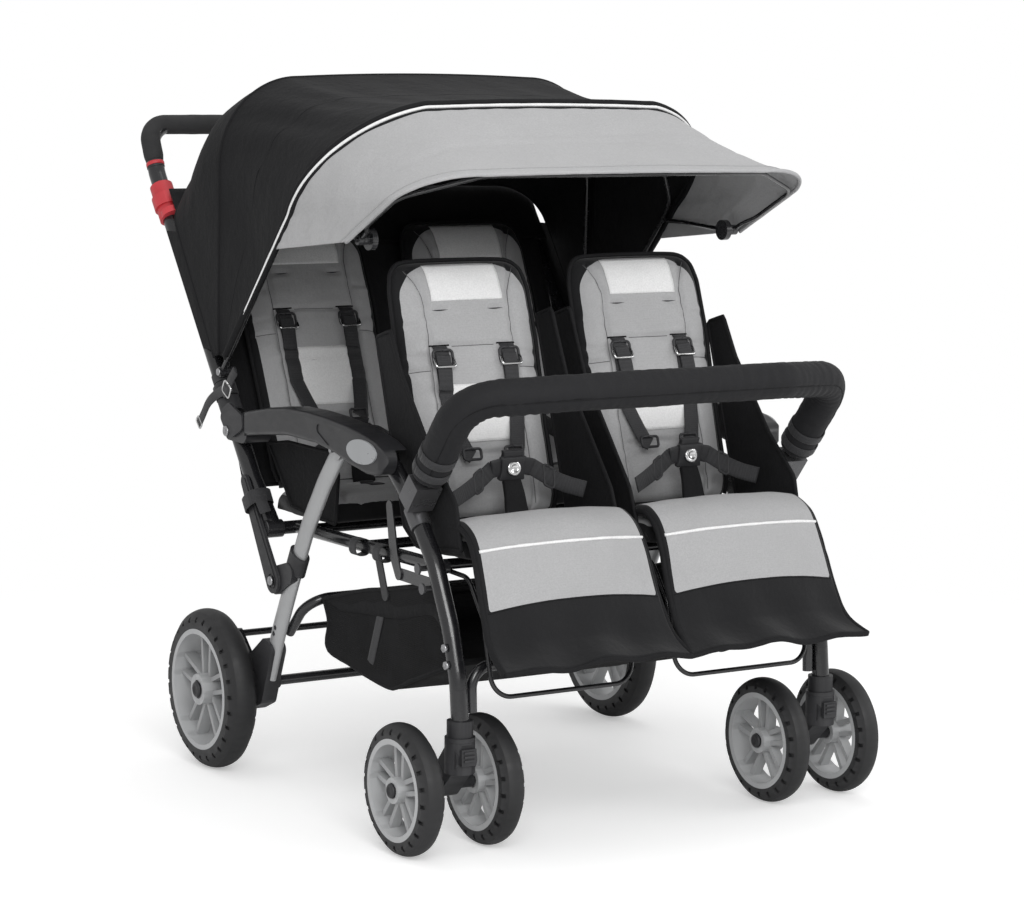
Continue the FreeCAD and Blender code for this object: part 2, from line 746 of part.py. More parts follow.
def make_rear_frame():
    outer = rear_leg_solid(rear_leg_width, rear_leg_depth)
    leg = outer.cut(rear_leg_solid(rear_leg_width - 2 * tube_wall, rear_leg_depth - 2 * tube_wall))
    eye = rear_leg_depth / 2 - tube_wall / 2
    eye_half = rear_leg_width / 2 - tube_wall / 2
    leg = leg.fuse(rod_x(eye, rear_leg_x - eye_half, rear_leg_x + eye_half, rear_leg_pivot))
    leg = leg.cut(rod_x(pin_radius + pin_clearance, armrest_inner_x, armrest_outer_x, rear_leg_pivot))

    middle_place = leg_place(sleeve_place_share)
    ahead = leg_place(sleeve_place_share + 0.1)
    down = unit(at(0, ahead) - at(0, middle_place))
    centre = at(rear_leg_x, middle_place)
    wide = rear_leg_width + 2 * sleeve_wall
    deep = rear_leg_depth + 3 * sleeve_wall
    top_ring = oval(centre - down * (sleeve_length / 2), down, wide, deep)
    sleeve = Part.Face(top_ring).extrude(down * (0.42 * sleeve_length))
    lobe_low = rear_leg_x + rear_leg_width / 2 - 2 * sleeve_wall
    lobe_high = handle_x + handle_tube_radius
    lobe = strip(middle_place, 0.36 * deep, link_foot, sleeve_lobe_radius, lobe_low, lobe_high)
    sleeve = sleeve.fuse(lobe).cut(outer)

    bracket_places = chord(leg_foot, rear_axle, bracket_shares + bracket_lower_shares)
    bracket = plate(bracket_places, bracket_bend, bracket_inner_x, bracket_outer_x)
    boss = rod_x(1.6 * rear_axle_radius, bracket_outer_x,
            rear_wheel_x - rear_wheel_width / 2 - slide_clearance, rear_axle)
    hex_boss = rod_x(1.5 * cross_tube_radius, bracket_inner_x - cross_tube_radius, bracket_inner_x,
            (cross_bar_y, cross_bar_z))
    bracket = bracket.fuse(boss).fuse(hex_boss).cut(outer)
    axle = rod_x(rear_axle_radius, bracket_inner_x + rear_leg_width,
            rear_wheel_x + rear_wheel_width / 2 + bolt_head_height, rear_axle)
    cap_low = rear_wheel_x + rear_wheel_width / 2 - hub_recess_depth + slide_clearance
    axle = axle.fuse(rod_x(1.6 * rear_axle_radius, cap_low, cap_low + bolt_head_height, rear_axle))
    brake_pin = rod_x(pin_radius, bracket_inner_x - brake_arm_thickness - 2 * side_gap - bolt_head_height,
                      bracket_inner_x + pin_radius, (brake_pivot_y, brake_pivot_z))
    link_pin = rod_x(pin_radius, lobe_low + 2 * sleeve_wall,
            lobe_high + side_gap + link_thickness + bolt_head_height, link_foot)
    rivets = []
    for step in (0.06, 0.1):
        place = leg_place(0.83 + step)
        rivets.append(rod_x(pin_radius, rear_leg_x - rear_leg_width / 2 - cross_tube_radius,
                            rear_leg_x + rear_leg_width / 2 + bolt_head_height / 2, place))
    bracket = bracket.cut(axle).cut(brake_pin).cut(Part.makeCompound(rivets))
    sleeve = sleeve.cut(link_pin)
    tube_end = bracket_inner_x
    lower_bar = rod_x(cross_tube_radius, -tube_end, tube_end, (cross_bar_y, cross_bar_z))
    lower_bar = lower_bar.cut(rod_x(cross_tube_radius - tube_wall, -tube_end, tube_end,
            (cross_bar_y, cross_bar_z)))
    bracket = bracket.cut(Part.makeCompound([rod_x(cross_tube_radius, 0, tube_end,
            (cross_bar_y, cross_bar_z))]))

    leg_inner = rear_leg_x - rear_leg_width / 2
    tube_x = leg_inner - cross_tube_radius - side_gap
    foot = (cross_tube_foot_y, cross_tube_foot_z)
    head = (cross_tube_top_y, cross_tube_top_z)
    cross = [at(-tube_x, foot), at(-tube_x, head), at(tube_x, head), at(tube_x, foot)]
    upper_tube = tube(cross, 5 * cross_tube_radius, cross_tube_radius)
    upper_cut = Part.makeCompound(sum([both(r) for r in rivets], []))
    leg = leg.cut(Part.makeCompound(rivets))
    save("rear_legs", both(leg))
    save("leg_sleeves", both(sleeve))
    save("rear_brackets", both(bracket))
    save("rear_cross_tubes", [lower_bar, upper_tube.cut(upper_cut)])
    save("rear_axles_and_pins", sum([both(s) for s in [axle, brake_pin, link_pin] + rivets], []))


def make_brake():
    low = bracket_inner_x - side_gap - brake_arm_thickness
    high = bracket_inner_x - side_gap
    pivot = (brake_pivot_y, brake_pivot_z)
    bar_place = (brake_bar_y, brake_bar_z)
    arm = strip(pivot, brake_arm_radius, bar_place, 0.8 * brake_arm_radius, low, high)
    arm = arm.cut(rod_x(pin_radius + pin_clearance, low - cut_overrun, high + cut_overrun, pivot))
    cross = rod_x(brake_bar_radius, -high, high, bar_place)
    save("brake_bar", [cross.multiFuse(both(arm))])


def make_armrests():
    nose = (armrest_nose_y, armrest_nose_z)
    rear = (armrest_rear_y, armrest_rear_z)
    low_shares = armrest_bottom_shares + armrest_bottom_rear_shares
    places = chord(nose, rear, armrest_top_shares + armrest_top_front_shares + low_shares)
    body = plate(places, armrest_bend, armrest_inner_x, armrest_outer_x)
    rims = [edge for edge in body.Edges if edge.BoundBox.XLength < pin_clearance]
    body = body.makeFillet(armrest_edge_round, rims)
    body = body.common(make_armrest_plan())
    ear = strip((handle_pivot_y - ear_slot_length, handle_pivot_z + ear_radius / 5), ear_radius,
                handle_pivot, ear_radius - 1.5 * bolt_head_height, armrest_inner_x, armrest_outer_x)
    body = body.fuse(ear)
    lug_x = handle_x + handle_tube_radius + side_gap + ear_lug_thickness
    cover_room = Part.makeBox(armrest_outer_x - lug_x + cut_overrun, 4 * ear_radius, 8 * ear_radius,
                              V(lug_x, handle_pivot_y - cover_sweep() - side_gap,
                                      handle_pivot_z - 4 * ear_radius))
    body = body.cut(cover_room)

    front_slot = Part.makeBox(
        front_leg_x + front_leg_radius + side_gap - armrest_inner_x + cut_overrun,
        6.4 * front_leg_radius,
        5 * front_leg_radius,
        V(armrest_inner_x - cut_overrun, front_leg_pivot_y - 4.2 * front_leg_radius,
          front_leg_pivot_z + front_leg_radius + side_gap - 5 * front_leg_radius),
    )
    rear_slot = Part.makeBox(
        rear_leg_width + 2 * side_gap,
        2.4 * rear_leg_depth,
        3 * rear_leg_depth,
        V(rear_leg_x - rear_leg_width / 2 - side_gap, rear_leg_pivot_y - 1.1 * rear_leg_depth,
          rear_leg_pivot_z + rear_leg_depth / 2 + side_gap - 3 * rear_leg_depth),
    )
    handle_slot = Part.makeBox(
        2 * (handle_tube_radius + side_gap),
        3 * ear_slot_length,
        8 * ear_radius,
        V(handle_x - handle_tube_radius - side_gap, handle_pivot_y - ear_slot_length,
                handle_pivot_z - 4 * ear_radius),
    )
    body = body.cut(front_slot).cut(rear_slot).cut(handle_slot)
    panel = plate(chord(nose, rear, armrest_panel_shares), ear_radius / 2,
                  armrest_outer_x - armrest_panel_depth / 2, armrest_outer_x + cut_overrun)
    body = body.cut(panel)
    front_pin = rod_x(pin_radius, front_leg_x - front_leg_radius,
            armrest_outer_x - 2 * armrest_panel_depth, front_leg_pivot)
    rear_pin = rod_x(pin_radius, armrest_inner_x + 2 * armrest_panel_depth,
                     armrest_outer_x - armrest_panel_depth / 2, rear_leg_pivot)
    handle_pin = rod_x(pin_radius, armrest_inner_x, lug_x, handle_pivot)
    pins = [front_pin, rear_pin, handle_pin]
    body = body.cut(Part.makeCompound(pins))
    medallion = make_medallion(armrest_outer_x, medallion_thickness)
    save("armrests", both(body))
    save("armrest_pins", sum([both(p) for p in pins], []))
    save("armrest_medallions", both(medallion))


def make_armrest_plan():
    """The armrest seen from above, as a tall prism with a rounded nose."""
    low_z = armrest_nose_z - 4 * ear_radius
    rear_y = handle_pivot_y + 4 * ear_radius
    corners = [V(armrest_inner_x, rear_y, low_z), V(armrest_inner_x, armrest_nose_y, low_z)]
    corners += [V(armrest_outer_x, armrest_nose_y, low_z), V(armrest_outer_x, rear_y, low_z)]
    return Part.Face(outline(corners, armrest_nose_round)).extrude(V(0, 0, 8 * ear_radius))


def cover_places():
    heading = handle_heading()
    head = (handle_pivot_y + heading.y * cover_reach, handle_pivot_z + heading.z * cover_reach)
    return chord(handle_pivot, head, cover_shares + cover_front_shares)


def cover_sweep():
    """How far the joint cover reaches from the handle's pivot."""
    return max(math.hypot(y - handle_pivot_y, z - handle_pivot_z) for y, z in cover_places())


def make_medallion(x_low, thickness):
    """An oval badge with nothing on it."""
    centre = at(x_low, (medallion_y, medallion_z))
    ellipse = Part.Ellipse(
        centre + V(0, medallion_half_length, 0), centre + V(0, 0, medallion_half_height), centre
    )
    return Part.Face(Part.Wire(ellipse.toShape())).extrude(V(thickness, 0, 0))


def handle_points():
    lower = chord(rail_rear, handle_top, handle_lower_bend_shares)[0]
    upper = chord(rail_rear, handle_top, handle_upper_bend_shares)[0]
    side = [at(handle_x, p) for p in (rail_rear, lower, upper, handle_top)]
    return side + [V(-p.x, p.y, p.z) for p in reversed(side)]


def handle_place(share):
    """A place on the straight stretch between the handle tube's bends."""
    lower = chord(rail_rear, handle_top, handle_lower_bend_shares)[0]
    upper = chord(rail_rear, handle_top, handle_upper_bend_shares)[0]
    return chord(lower, upper, [(share, 0.0)])[0]


def handle_heading():
    lower = handle_place(0.0)
    upper = handle_place(1.0)
    return unit(V(0, upper[0] - lower[0], upper[1] - lower[1]))


def make_handle():
    points = handle_points()
    frame = tube(points, handle_corner_radius, handle_tube_radius)
    frame = frame.fuse(
        Part.makeCompound(both(rod_x(handle_tube_radius, handle_x - handle_tube_radius,
                handle_x + handle_tube_radius, rail_rear)))
    )
    pin_hole = rod_x(pin_radius + pin_clearance, handle_x - 2 * handle_tube_radius,
            handle_x + 2 * handle_tube_radius, handle_pivot)
    frame = frame.cut(Part.makeCompound(both(pin_hole)))

    top = points[3]
    back = unit(points[2] - top)
    start = top + back * grip_length
    grip = bar(points[2:6], handle_corner_radius, grip_radius)
    grip = grip.cut(bar(points[2:6], handle_corner_radius, handle_tube_radius + axle_clearance))
    grip_room = Part.makeCylinder(2 * handle_x, 2 * grip_length, V(0, start.y, start.z), back * -1)
    grip = grip.common(grip_room)

    cover_low = handle_x + handle_tube_radius + 2 * side_gap + ear_lug_thickness
    cover_high = armrest_outer_x + 2 * side_gap
    cover = plate(cover_places(), cover_bend, cover_low, cover_high)
    heading = handle_heading()
    base = at(handle_x, handle_pivot) + heading * (cover_reach - 0.4 * cover_reach)
    ring = Part.makeCylinder(handle_tube_radius + sleeve_wall, 0.5 * cover_reach, base, heading)
    cover = cover.fuse(ring).cut(bar(points[:4], handle_corner_radius, handle_tube_radius))
    save("handle_tube", [frame])
    save("handle_grip", [grip])
    save("joint_covers", both(cover))


def make_triggers():
    """A clamp that slides up the handle tube and lets the frame fold."""
    heading = handle_heading()
    centre = at(handle_x, handle_place(trigger_place_share))
    base = centre - heading * (trigger_length / 2)
    body = Part.makeCylinder(trigger_radius, trigger_length, base, heading)
    waist = Part.makeCylinder(trigger_radius + trigger_lip / 3, trigger_length / 3,
            base + heading * (trigger_length / 3), heading)
    across = V(0, heading.z, -heading.y)
    lip = Part.makeCylinder(trigger_radius, trigger_length / 6, base + across * trigger_lip * -1, heading)
    body = body.fuse(waist).fuse(lip)
    hole = Part.makeCylinder(handle_tube_radius + slide_clearance, trigger_length + 2 * cut_overrun,
            base - heading * cut_overrun, heading)
    body = body.cut(hole)
    save("fold_trigger_left", [mirrored(body)])
    save("fold_trigger_right", [body])


def make_lock_links():
    low = handle_x + handle_tube_radius + side_gap
    link = strip(link_foot, link_foot_radius, link_head, link_head_radius, low, low + link_thickness)
    link = link.cut(rod_x(pin_radius + pin_clearance, low - cut_overrun,
            low + link_thickness + cut_overrun, link_foot))
    rib = strip(link_foot, 0.6 * link_foot_radius, link_head, 0.5 * link_head_radius,
                low + link_thickness, low + 1.25 * link_thickness)
    link = link.fuse(rib.cut(rod_x(1.4 * bolt_head_radius, low, low + 2 * link_thickness, link_foot)))
    save("lock_links", both(link))


def ribbon(points, sides, widths, thickness):
    """A flat band: rectangles at each point, joined by a ruled loft."""
    wires = []
    count = len(points)
    for n in range(count):
        before = points[max(n - 1, 0)]
        after = points[min(n + 1, count - 1)]
        normal = unit((after - before).cross(sides))
        half = sides * (widths[n] / 2)
        lift = normal * (thickness[n] / 2)
        corners = [points[n] - half - lift, points[n] + half - lift, points[n] + half + lift,
                points[n] - half + lift]
        wires.append(Part.makePolygon(corners + corners[:1]))
    return Part.makeLoft(wires, True, True)


def pad(x_middle, foot, head, half_width, depth, stations, seam_share):
    """A crowned cushion with two sewn channels, its face on the line from foot to head."""
    dy = head[0] - foot[0]
    dz = head[1] - foot[1]
    length = math.hypot(dy, dz)
    out = V(0, -dz / length, dy / length)
    wires = []
    for along, width_share, depth_share in stations:
        base = V(x_middle, foot[0] + along * dy, foot[1] + along * dz) - out * depth
        w = half_width * width_share
        t = depth * depth_share
        seam = w * seam_share
        seam_t = 0.78 * t
        edge = 0.9 * w

        def spot(u, v):
            return base + V(u, 0, 0) + out * v

        edges = [Part.LineSegment(spot(-edge, 0), spot(edge, 0)).toShape()]
        edges.append(Part.Arc(spot(edge, 0), spot(w, 0.3 * t), spot(0.97 * w, 0.6 * t)).toShape())
        edges.append(Part.Arc(spot(0.97 * w, 0.6 * t), spot(0.78 * w, 0.98 * t),
                spot(seam, seam_t)).toShape())
        edges.append(Part.Arc(spot(seam, seam_t), spot(0, t), spot(-seam, seam_t)).toShape())
        edges.append(Part.Arc(spot(-seam, seam_t), spot(-0.78 * w, 0.98 * t),
                spot(-0.97 * w, 0.6 * t)).toShape())
        edges.append(Part.Arc(spot(-0.97 * w, 0.6 * t), spot(-w, 0.3 * t), spot(-edge, 0)).toShape())
        wires.append(Part.Wire(edges))
    return Part.makeLoft(wires, True, True)


def make_seat_backs():
    front_foot = (front_foot_y, front_foot_z)
    front_head = (front_head_y, front_head_z)
    rear_foot = (rear_foot_y, rear_foot_z)
    rear_head = (rear_head_y, rear_head_z)
    stations = pad_shares + pad_head_shares
    front = pad(seat_x, front_foot, front_head, seat_back_half_width, seat_back_depth, stations,
            seat_back_seam_share)
    rear = pad(seat_x, rear_foot, rear_head, seat_back_half_width, seat_back_depth, stations,
            seat_back_seam_share)
    length = math.hypot(rear_head_y - rear_foot_y, rear_head_z - rear_foot_z)
    near = (seat_back_depth + slide_clearance) / length
    far = near + sling_thickness / length
    sling_shares = [(0.02, -near), (0.94, -near), (0.94, -far), (0.02, -far)]
    half = handle_x - handle_tube_radius - slide_clearance
    places = chord(rear_foot, rear_head, sling_shares)
    corners = [at(-half, p) for p in places]
    sling = Part.Face(Part.makePolygon(corners + corners[:1])).extrude(V(2 * half, 0, 0))
    raised = [(curtain_foot_share, -near), curtain_head_shares, curtain_back_shares, (curtain_foot_share, -far)]
    half = half - curtain_side_room
    corners = [at(-half, p) for p in chord(rear_foot, rear_head, raised)]
    curtain = Part.Face(Part.makePolygon(corners + corners[:1])).extrude(V(2 * half, 0, 0))
    save("front_seat_backs", both(front))
    save("rear_seat_backs", both(rear))
    save("rear_back_sling", [sling.fuse(curtain)] + both(make_cheek()))


def make_cheek():
    """Cloth that closes the side of the canopy between its back panel and the handle tube."""
    pivot = canopy_pivot()
    low = turned(pivot, cheek_front_angle, 0, cheek_low_reach)
    high = turned(pivot, cheek_front_angle, 0, cheek_high_reach)
    heading = handle_heading()
    places = [low, high] + [
        at(0, handle_pivot) + heading * ((place.z - handle_pivot_z) / heading.z) for place in (high, low)
    ]
    x_low = handle_x + handle_tube_radius + slide_clearance
    corners = [V(x_low, place.y, place.z) for place in places]
    return Part.Face(Part.makePolygon(corners + corners[:1])).extrude(V(canopy_wall, 0, 0))


def pan_lines():
    """The front and rear ends of the two rows of seat cushions."""
    front = (front_pan_front_y, front_pan_front_z)
    front_end = (front_foot_y + pan_rear_reach, front_foot_z - pan_rear_gap)
    rear = (rear_pan_front_y, rear_pan_front_z)
    rear_end = (rear_foot_y + pan_rear_reach, rear_foot_z - pan_rear_gap)
    return (front, front_end), (rear, rear_end)


def depth_at(stations, column, along):
    """A cushion's width or depth share at a place between its stations."""
    for first, second in zip(stations, stations[1:]):
        if first[0] <= along <= second[0]:
            part = (along - first[0]) / (second[0] - first[0])
            return first[column] + part * (second[column] - first[column])
    return stations[-1][column]


def pan_top(line, y):
    """The height of a seat cushion's crown."""
    along = (y - line[0][0]) / (line[1][0] - line[0][0])
    line_z = line[0][1] + along * (line[1][1] - line[0][1])
    return line_z - pan_thickness * (1 - depth_at(pan_shares, 2, along))


def make_seat_pans():
    front_line, rear_line = pan_lines()
    front = pad(seat_x, *front_line, pan_half_width, pan_thickness, pan_shares, seat_back_seam_share)
    rear = pad(seat_x, *rear_line, pan_half_width, pan_thickness, pan_shares, seat_back_seam_share)
    save("front_seat_pans", both(front))
    save("rear_seat_pans", both(rear))


def make_calf_flaps():
    places = chord((front_pan_front_y - flap_top_gap, front_pan_front_z), (flap_end_y, flap_end_z),
            flap_shares)
    count = len(places)
    widths = []
    depths = []
    for n in range(count):
        share = n / (count - 1)
        widths.append(2 * (flap_top_half_width + share * (flap_end_half_width - flap_top_half_width)))
        depths.append(flap_top_thickness + share * (flap_end_thickness - flap_top_thickness))
    flap = ribbon([at(seat_x, p) for p in places], V(1, 0, 0), widths, depths)
    save("calf_flaps", both(flap))


def make_seat_frame():
    rod_places = [rod_front_y, rod_middle_y, rod_rear_y]
    points = [at(rail_x, rail_front), at(rail_x, rail_rear)]
    rail = Part.makeCylinder(rail_radius, (points[1] - points[0]).Length, points[0],
            points[1] - points[0])
    inside = Part.makeCylinder(rail_radius - tube_wall, (points[1] - points[0]).Length, points[0],
            points[1] - points[0])
    rail = rail.cut(inside)
    front_eye = rod_x(rail_radius + side_gap / 2, rail_x - rail_radius, rail_x + rail_radius, rail_front)
    rear_eye = rod_x(rail_radius + side_gap / 2, rail_x - rail_radius,
            handle_x - handle_tube_radius - side_gap, rail_rear)
    rail = rail.fuse(front_eye).fuse(rear_eye)
    rail = rail.cut(rod_x(pin_radius + pin_clearance, rail_x - 2 * rail_radius,
            rail_x + 2 * rail_radius, rail_front))
    rail_run = points[1] - points[0]
    rail_hole = Part.makeCompound(both(Part.makeCylinder(rail_radius, rail_run.Length, points[0],
            rail_run)))
    weld = Part.makeCylinder(rail_radius - tube_wall / 2, rail_run.Length, points[0], rail_run)
    weld = Part.makeCompound(both(weld))
    rods = []
    for y in rod_places:
        share = (y - rail_front_y) / (rail_rear_y - rail_front_y)
        place = chord(rail_front, rail_rear, [(share, 0.0)])[0]
        rods.append(rod_x(rod_radius, -rail_x, rail_x, place))
    welded = [rod.cut(weld) for rod in rods]
    save("seat_rails_and_rods", [rail.multiFuse([mirrored(rail)] + welded)])

    start = (rod_front_y, rail_front_z - rod_radius)
    places = [start] + chord(start, (wire_foot_y, wire_foot_z),
            wire_shares) + [(wire_foot_y, wire_foot_z)]
    right = [at(seat_x + wire_half_width, p) for p in places]
    left = [at(seat_x - wire_half_width, p) for p in reversed(places)]
    wire = bar(right + left, 9 * wire_radius, wire_radius)
    save("footrest_wires", both(wire.cut(rods[0])))

    low = basket_half_width + slide_clearance
    head = (hanger_top_y, rail_front_z)
    foot = (hanger_foot_y, hanger_foot_z)
    hanger = strip(head, hanger_radius, foot, hanger_radius, low, low + hanger_thickness).cut(rail_hole)
    hanger = hanger.Solids[0] if hanger.Solids[0].BoundBox.ZMin < hanger_foot_z else hanger.Solids[-1]
    save("basket_hangers", both(hanger))


def make_back_plates():
    low = rail_x + rail_radius + side_gap
    pivot = (plate_pivot_y, plate_pivot_z)
    foot = (plate_pivot_y - bar_rake, plate_pivot_z - bar_drop)
    head = (plate_pivot_y + bar_rake, plate_pivot_z + 2.6 * bar_drop)
    blade = strip(pivot, 1.3 * hanger_radius, head, hanger_radius, low, low + hanger_thickness)
    tail = strip(pivot, 1.3 * hanger_radius, foot, hanger_radius, low, low + hanger_thickness)
    save("back_plates", both(blade.fuse(tail)))
    bar_front = (rail_front_y - bar_rake, rail_front_z - bar_drop)
    inner = low - side_gap / 2 - hanger_thickness
    brace = strip(bar_front, hanger_radius, foot, hanger_radius, inner, inner + hanger_thickness)
    brace = brace.cut(rod_x(pin_radius + pin_clearance, inner - cut_overrun, low + cut_overrun,
            bar_front))
    save("brace_bars", both(brace))


def make_wings():
    """Black fabric panels beside the seats."""
    front_foot = (front_foot_y, front_foot_z)
    front_head = (front_head_y, front_head_z)
    outer_low = seat_x + pan_half_width + slide_clearance
    outer_high = outer_low + wing_thickness
    inner_high = seat_x - pan_half_width - slide_clearance
    inner_low = inner_high - wing_thickness
    rear_outer = plate(chord(rail_rear, handle_pivot, rear_wing_shares), ear_radius, outer_low,
            outer_high)
    outer_places = chord(front_foot, front_head, front_wing_shares + front_wing_rear_shares)
    front_outer = plate(outer_places, ear_radius, outer_low, outer_high)
    inner_places = chord(front_foot, front_head, middle_wing_shares + middle_wing_rear_shares)
    front_inner = plate(inner_places, ear_radius, inner_low, inner_high)
    save("seat_side_panels", both(rear_outer) + both(front_outer) + both(front_inner))


def strap_rest(stations, along):
    """The height of a flat strap over the line that a cushion's face follows."""
    edge = (strap_spacing - strap_width) / 2
    seam = seat_back_seam_share * seat_back_half_width * depth_at(stations, 1, along)
    crown = 1 - 0.22 * (edge / seam) ** 2
    surface = seat_back_depth * (depth_at(stations, 2, along) * crown - 1)
    return surface + strap_thickness / 2 + slide_clearance


def make_harnesses():
    """Webbing and buckles of the four seats."""
    upper = []
    for foot, head in (((front_foot_y, front_foot_z), (front_head_y, front_head_z)),
                       ((rear_foot_y, rear_foot_z), (rear_head_y, rear_head_z))):
        length = math.hypot(head[0] - foot[0], head[1] - foot[1])
        stations = pad_shares + pad_head_shares
        lifted = [(share, strap_rest(stations, share) / length) for share in shoulder_strap_shares]
        places = chord(foot, head, lifted + [strap_end_share])
        pieces = []
        for side in pair:
            x = seat_x + side * strap_spacing / 2
            points = [at(x, p) for p in places]
            web = ribbon(points, V(1, 0, 0), [strap_width] * len(points), [strap_thickness] * len(points))
            pieces.append(web)
        upper.append(sum([both(p) for p in pieces], []))
    save("front_shoulder_straps", upper[0])
    save("rear_shoulder_straps", upper[1])

    lower = []
    shift = rear_foot_y - front_foot_y
    for offset, line in zip((0.0, shift), pan_lines()):
        buckle = Part.makeBox(
            crotch_buckle_size, buckle_thickness, crotch_buckle_size,
            V(seat_x - crotch_buckle_size / 2, crotch_buckle_y + offset - crotch_buckle_size,
              crotch_buckle_z - crotch_buckle_size / 2),
        )
        face_y = crotch_buckle_y + offset - crotch_buckle_size + buckle_thickness / 2
        foot_z = pan_top(line, crotch_y + offset) + 1.5 * slide_clearance
        points = [at(seat_x, (crotch_y + offset, foot_z)),
                at(seat_x, (face_y, crotch_buckle_z - crotch_buckle_size / 2))]
        crotch = ribbon(points, V(1, 0, 0), [strap_width, strap_width],
                [strap_thickness, strap_thickness])
        pieces = [buckle.fuse(crotch)]
        for side in pair:
            start = V(seat_x + side * crotch_buckle_size / 2, face_y, crotch_buckle_z)
            end = V(seat_x + side * waist_reach, crotch_buckle_y + offset - strap_width,
                    crotch_buckle_z - waist_rise)
            pieces[0] = pieces[0].fuse(
                ribbon([start, end], V(0, 0, 1), [strap_width, strap_width],
                        [strap_thickness, strap_thickness])
            )
        lower += both(pieces[0])
    save("lap_harnesses", lower)


def make_basket():
    """A sling with net sides, open on top, hung between the two cross tubes."""
    rear = (basket_rear_y, basket_rear_z)
    front = (basket_front_y, basket_front_z)
    shares = basket_bottom_shares + basket_front_shares + basket_rim_shares
    body = Part.Face(Part.makePolygon(closed([at(-basket_half_width, p) for p in chord(rear, front,
            shares)])))
    body = body.extrude(V(2 * basket_half_width, 0, 0))
    span = rear[0] - front[0]
    raised = [(share, across - basket_floor_inset / span) for share, across in basket_bottom_shares[2:]]
    raised += [(share, across - basket_floor_inset / span) for share, across in basket_front_shares[:2]]
    floor_front = (1 - basket_floor_inset / span, -basket_floor_inset / span)
    over_shares = [(floor_front[0], -0.5), (basket_floor_inset / span, -0.5)]
    wall_shares = [(basket_bottom_shares[1][0] + basket_floor_inset / span, basket_bottom_shares[1][1])]
    inner_shares = [(basket_floor_inset / span, 0)] + wall_shares + raised + [floor_front] + over_shares
    reach = basket_half_width - basket_wall
    inner = Part.Face(Part.makePolygon(closed([at(-reach, p) for p in chord(rear, front, inner_shares)])))
    inner = inner.extrude(V(2 * reach, 0, 0))
    save("basket", [body.cut(inner)])


def closed(points):
    return points + points[:1]


def canopy_pivot():
    heading = handle_heading()
    y = handle_pivot_y + heading.y * canopy_pivot_reach - heading.z * canopy_pivot_offset
    z = handle_pivot_z + heading.z * canopy_pivot_reach + heading.y * canopy_pivot_offset
    return (y, z)


def turned(pivot, angle, x, reach):
    """A point at a distance from a pivot, in the plane that leans at an angle."""
    lean = math.radians(angle)
    return V(x, pivot[0] + reach * math.cos(lean), pivot[1] + reach * math.sin(lean))


def hood_section(pivot, angle, start, leg, top, top_half, crown, half_width, wall):
    """A thin hoop of fabric in a leaning plane, as a closed wire."""
    turn_share = math.cos(math.radians(45))

    def hoop(inset):
        w = half_width - inset
        corner_x = top_half + (w - top_half) * turn_share
        corner_r = leg + (top - inset - leg) * turn_share
        return [
            turned(pivot, angle, w, start),
            turned(pivot, angle, w, leg),
            turned(pivot, angle, corner_x, corner_r),
            turned(pivot, angle, top_half, top - inset),
            turned(pivot, angle, 0, top + crown - inset),
        ]

    def flip(p):
        return V(-p.x, p.y, p.z)

    def run(a):
        b = [flip(p) for p in a]
        return [
            Part.LineSegment(a[0], a[1]).toShape(),
            Part.Arc(a[1], a[2], a[3]).toShape(),
            Part.Arc(a[3], a[4], b[3]).toShape(),
            Part.Arc(b[3], b[2], b[1]).toShape(),
            Part.LineSegment(b[1], b[0]).toShape(),
        ]

    outer = hoop(0)
    inner = hoop(wall)
    edges = run(outer)
    edges.append(Part.LineSegment(flip(outer[0]), flip(inner[0])).toShape())
    back = run([flip(p) for p in inner])
    edges += back
    edges.append(Part.LineSegment(inner[0], outer[0]).toShape())
    return Part.Wire(Part.__sortEdges__(edges))


def chord_reach(angle):
    """How far the line between the two bow tops lies from the pivot, at an angle."""
    a = turned((0, 0), front_bow_angle, 0, front_bow_length)
    b = turned((0, 0), rear_bow_angle, 0, rear_bow_length)
    lean = math.radians(angle)
    dy = math.cos(lean)
    dz = math.sin(lean)
    cross = (b.y - a.y) * dz - (b.z - a.z) * dy
    return ((b.y - a.y) * a.z - (b.z - a.z) * a.y) / cross


def make_canopy():
    pivot = canopy_pivot()
    wall = canopy_wall
    half = canopy_half_width
    sections = []
    steps = 4
    for n in range(steps + 1):
        share = n / steps
        angle = front_bow_angle + share * (rear_bow_angle + canopy_seam_turn - front_bow_angle)
        sag = canopy_sag * math.sin(math.pi * share)
        leg = front_bow_leg + share * (rear_bow_leg - front_bow_leg)
        top_half = front_bow_top_half + share * (rear_bow_top_half - front_bow_top_half)
        sections.append(
            hood_section(pivot, angle, canopy_leg_start, leg, chord_reach(angle) - sag, top_half,
                    canopy_crown, half, wall)
        )
    save("canopy_hood", [Part.makeLoft(sections, True, True)])

    sections = [
        hood_section(pivot, rear_bow_angle - canopy_seam_turn, canopy_leg_start, rear_bow_leg,
                rear_bow_length,
                     rear_bow_top_half, canopy_crown, half, wall)
    ]
    lean = math.degrees(math.atan2(handle_heading().z, handle_heading().y))
    for turn_share, leg_share, top_share, half_share in back_panel_shares:
        angle = rear_bow_angle + turn_share * (lean - rear_bow_angle)
        sections.append(
            hood_section(pivot, angle, canopy_leg_start, rear_bow_leg * leg_share,
                    rear_bow_length * top_share,
                         rear_bow_top_half * half_share, canopy_crown, half, wall)
        )
    save("canopy_back_panel", [Part.makeLoft(sections, True, True)])
    make_bows(pivot)
    make_visor(pivot)


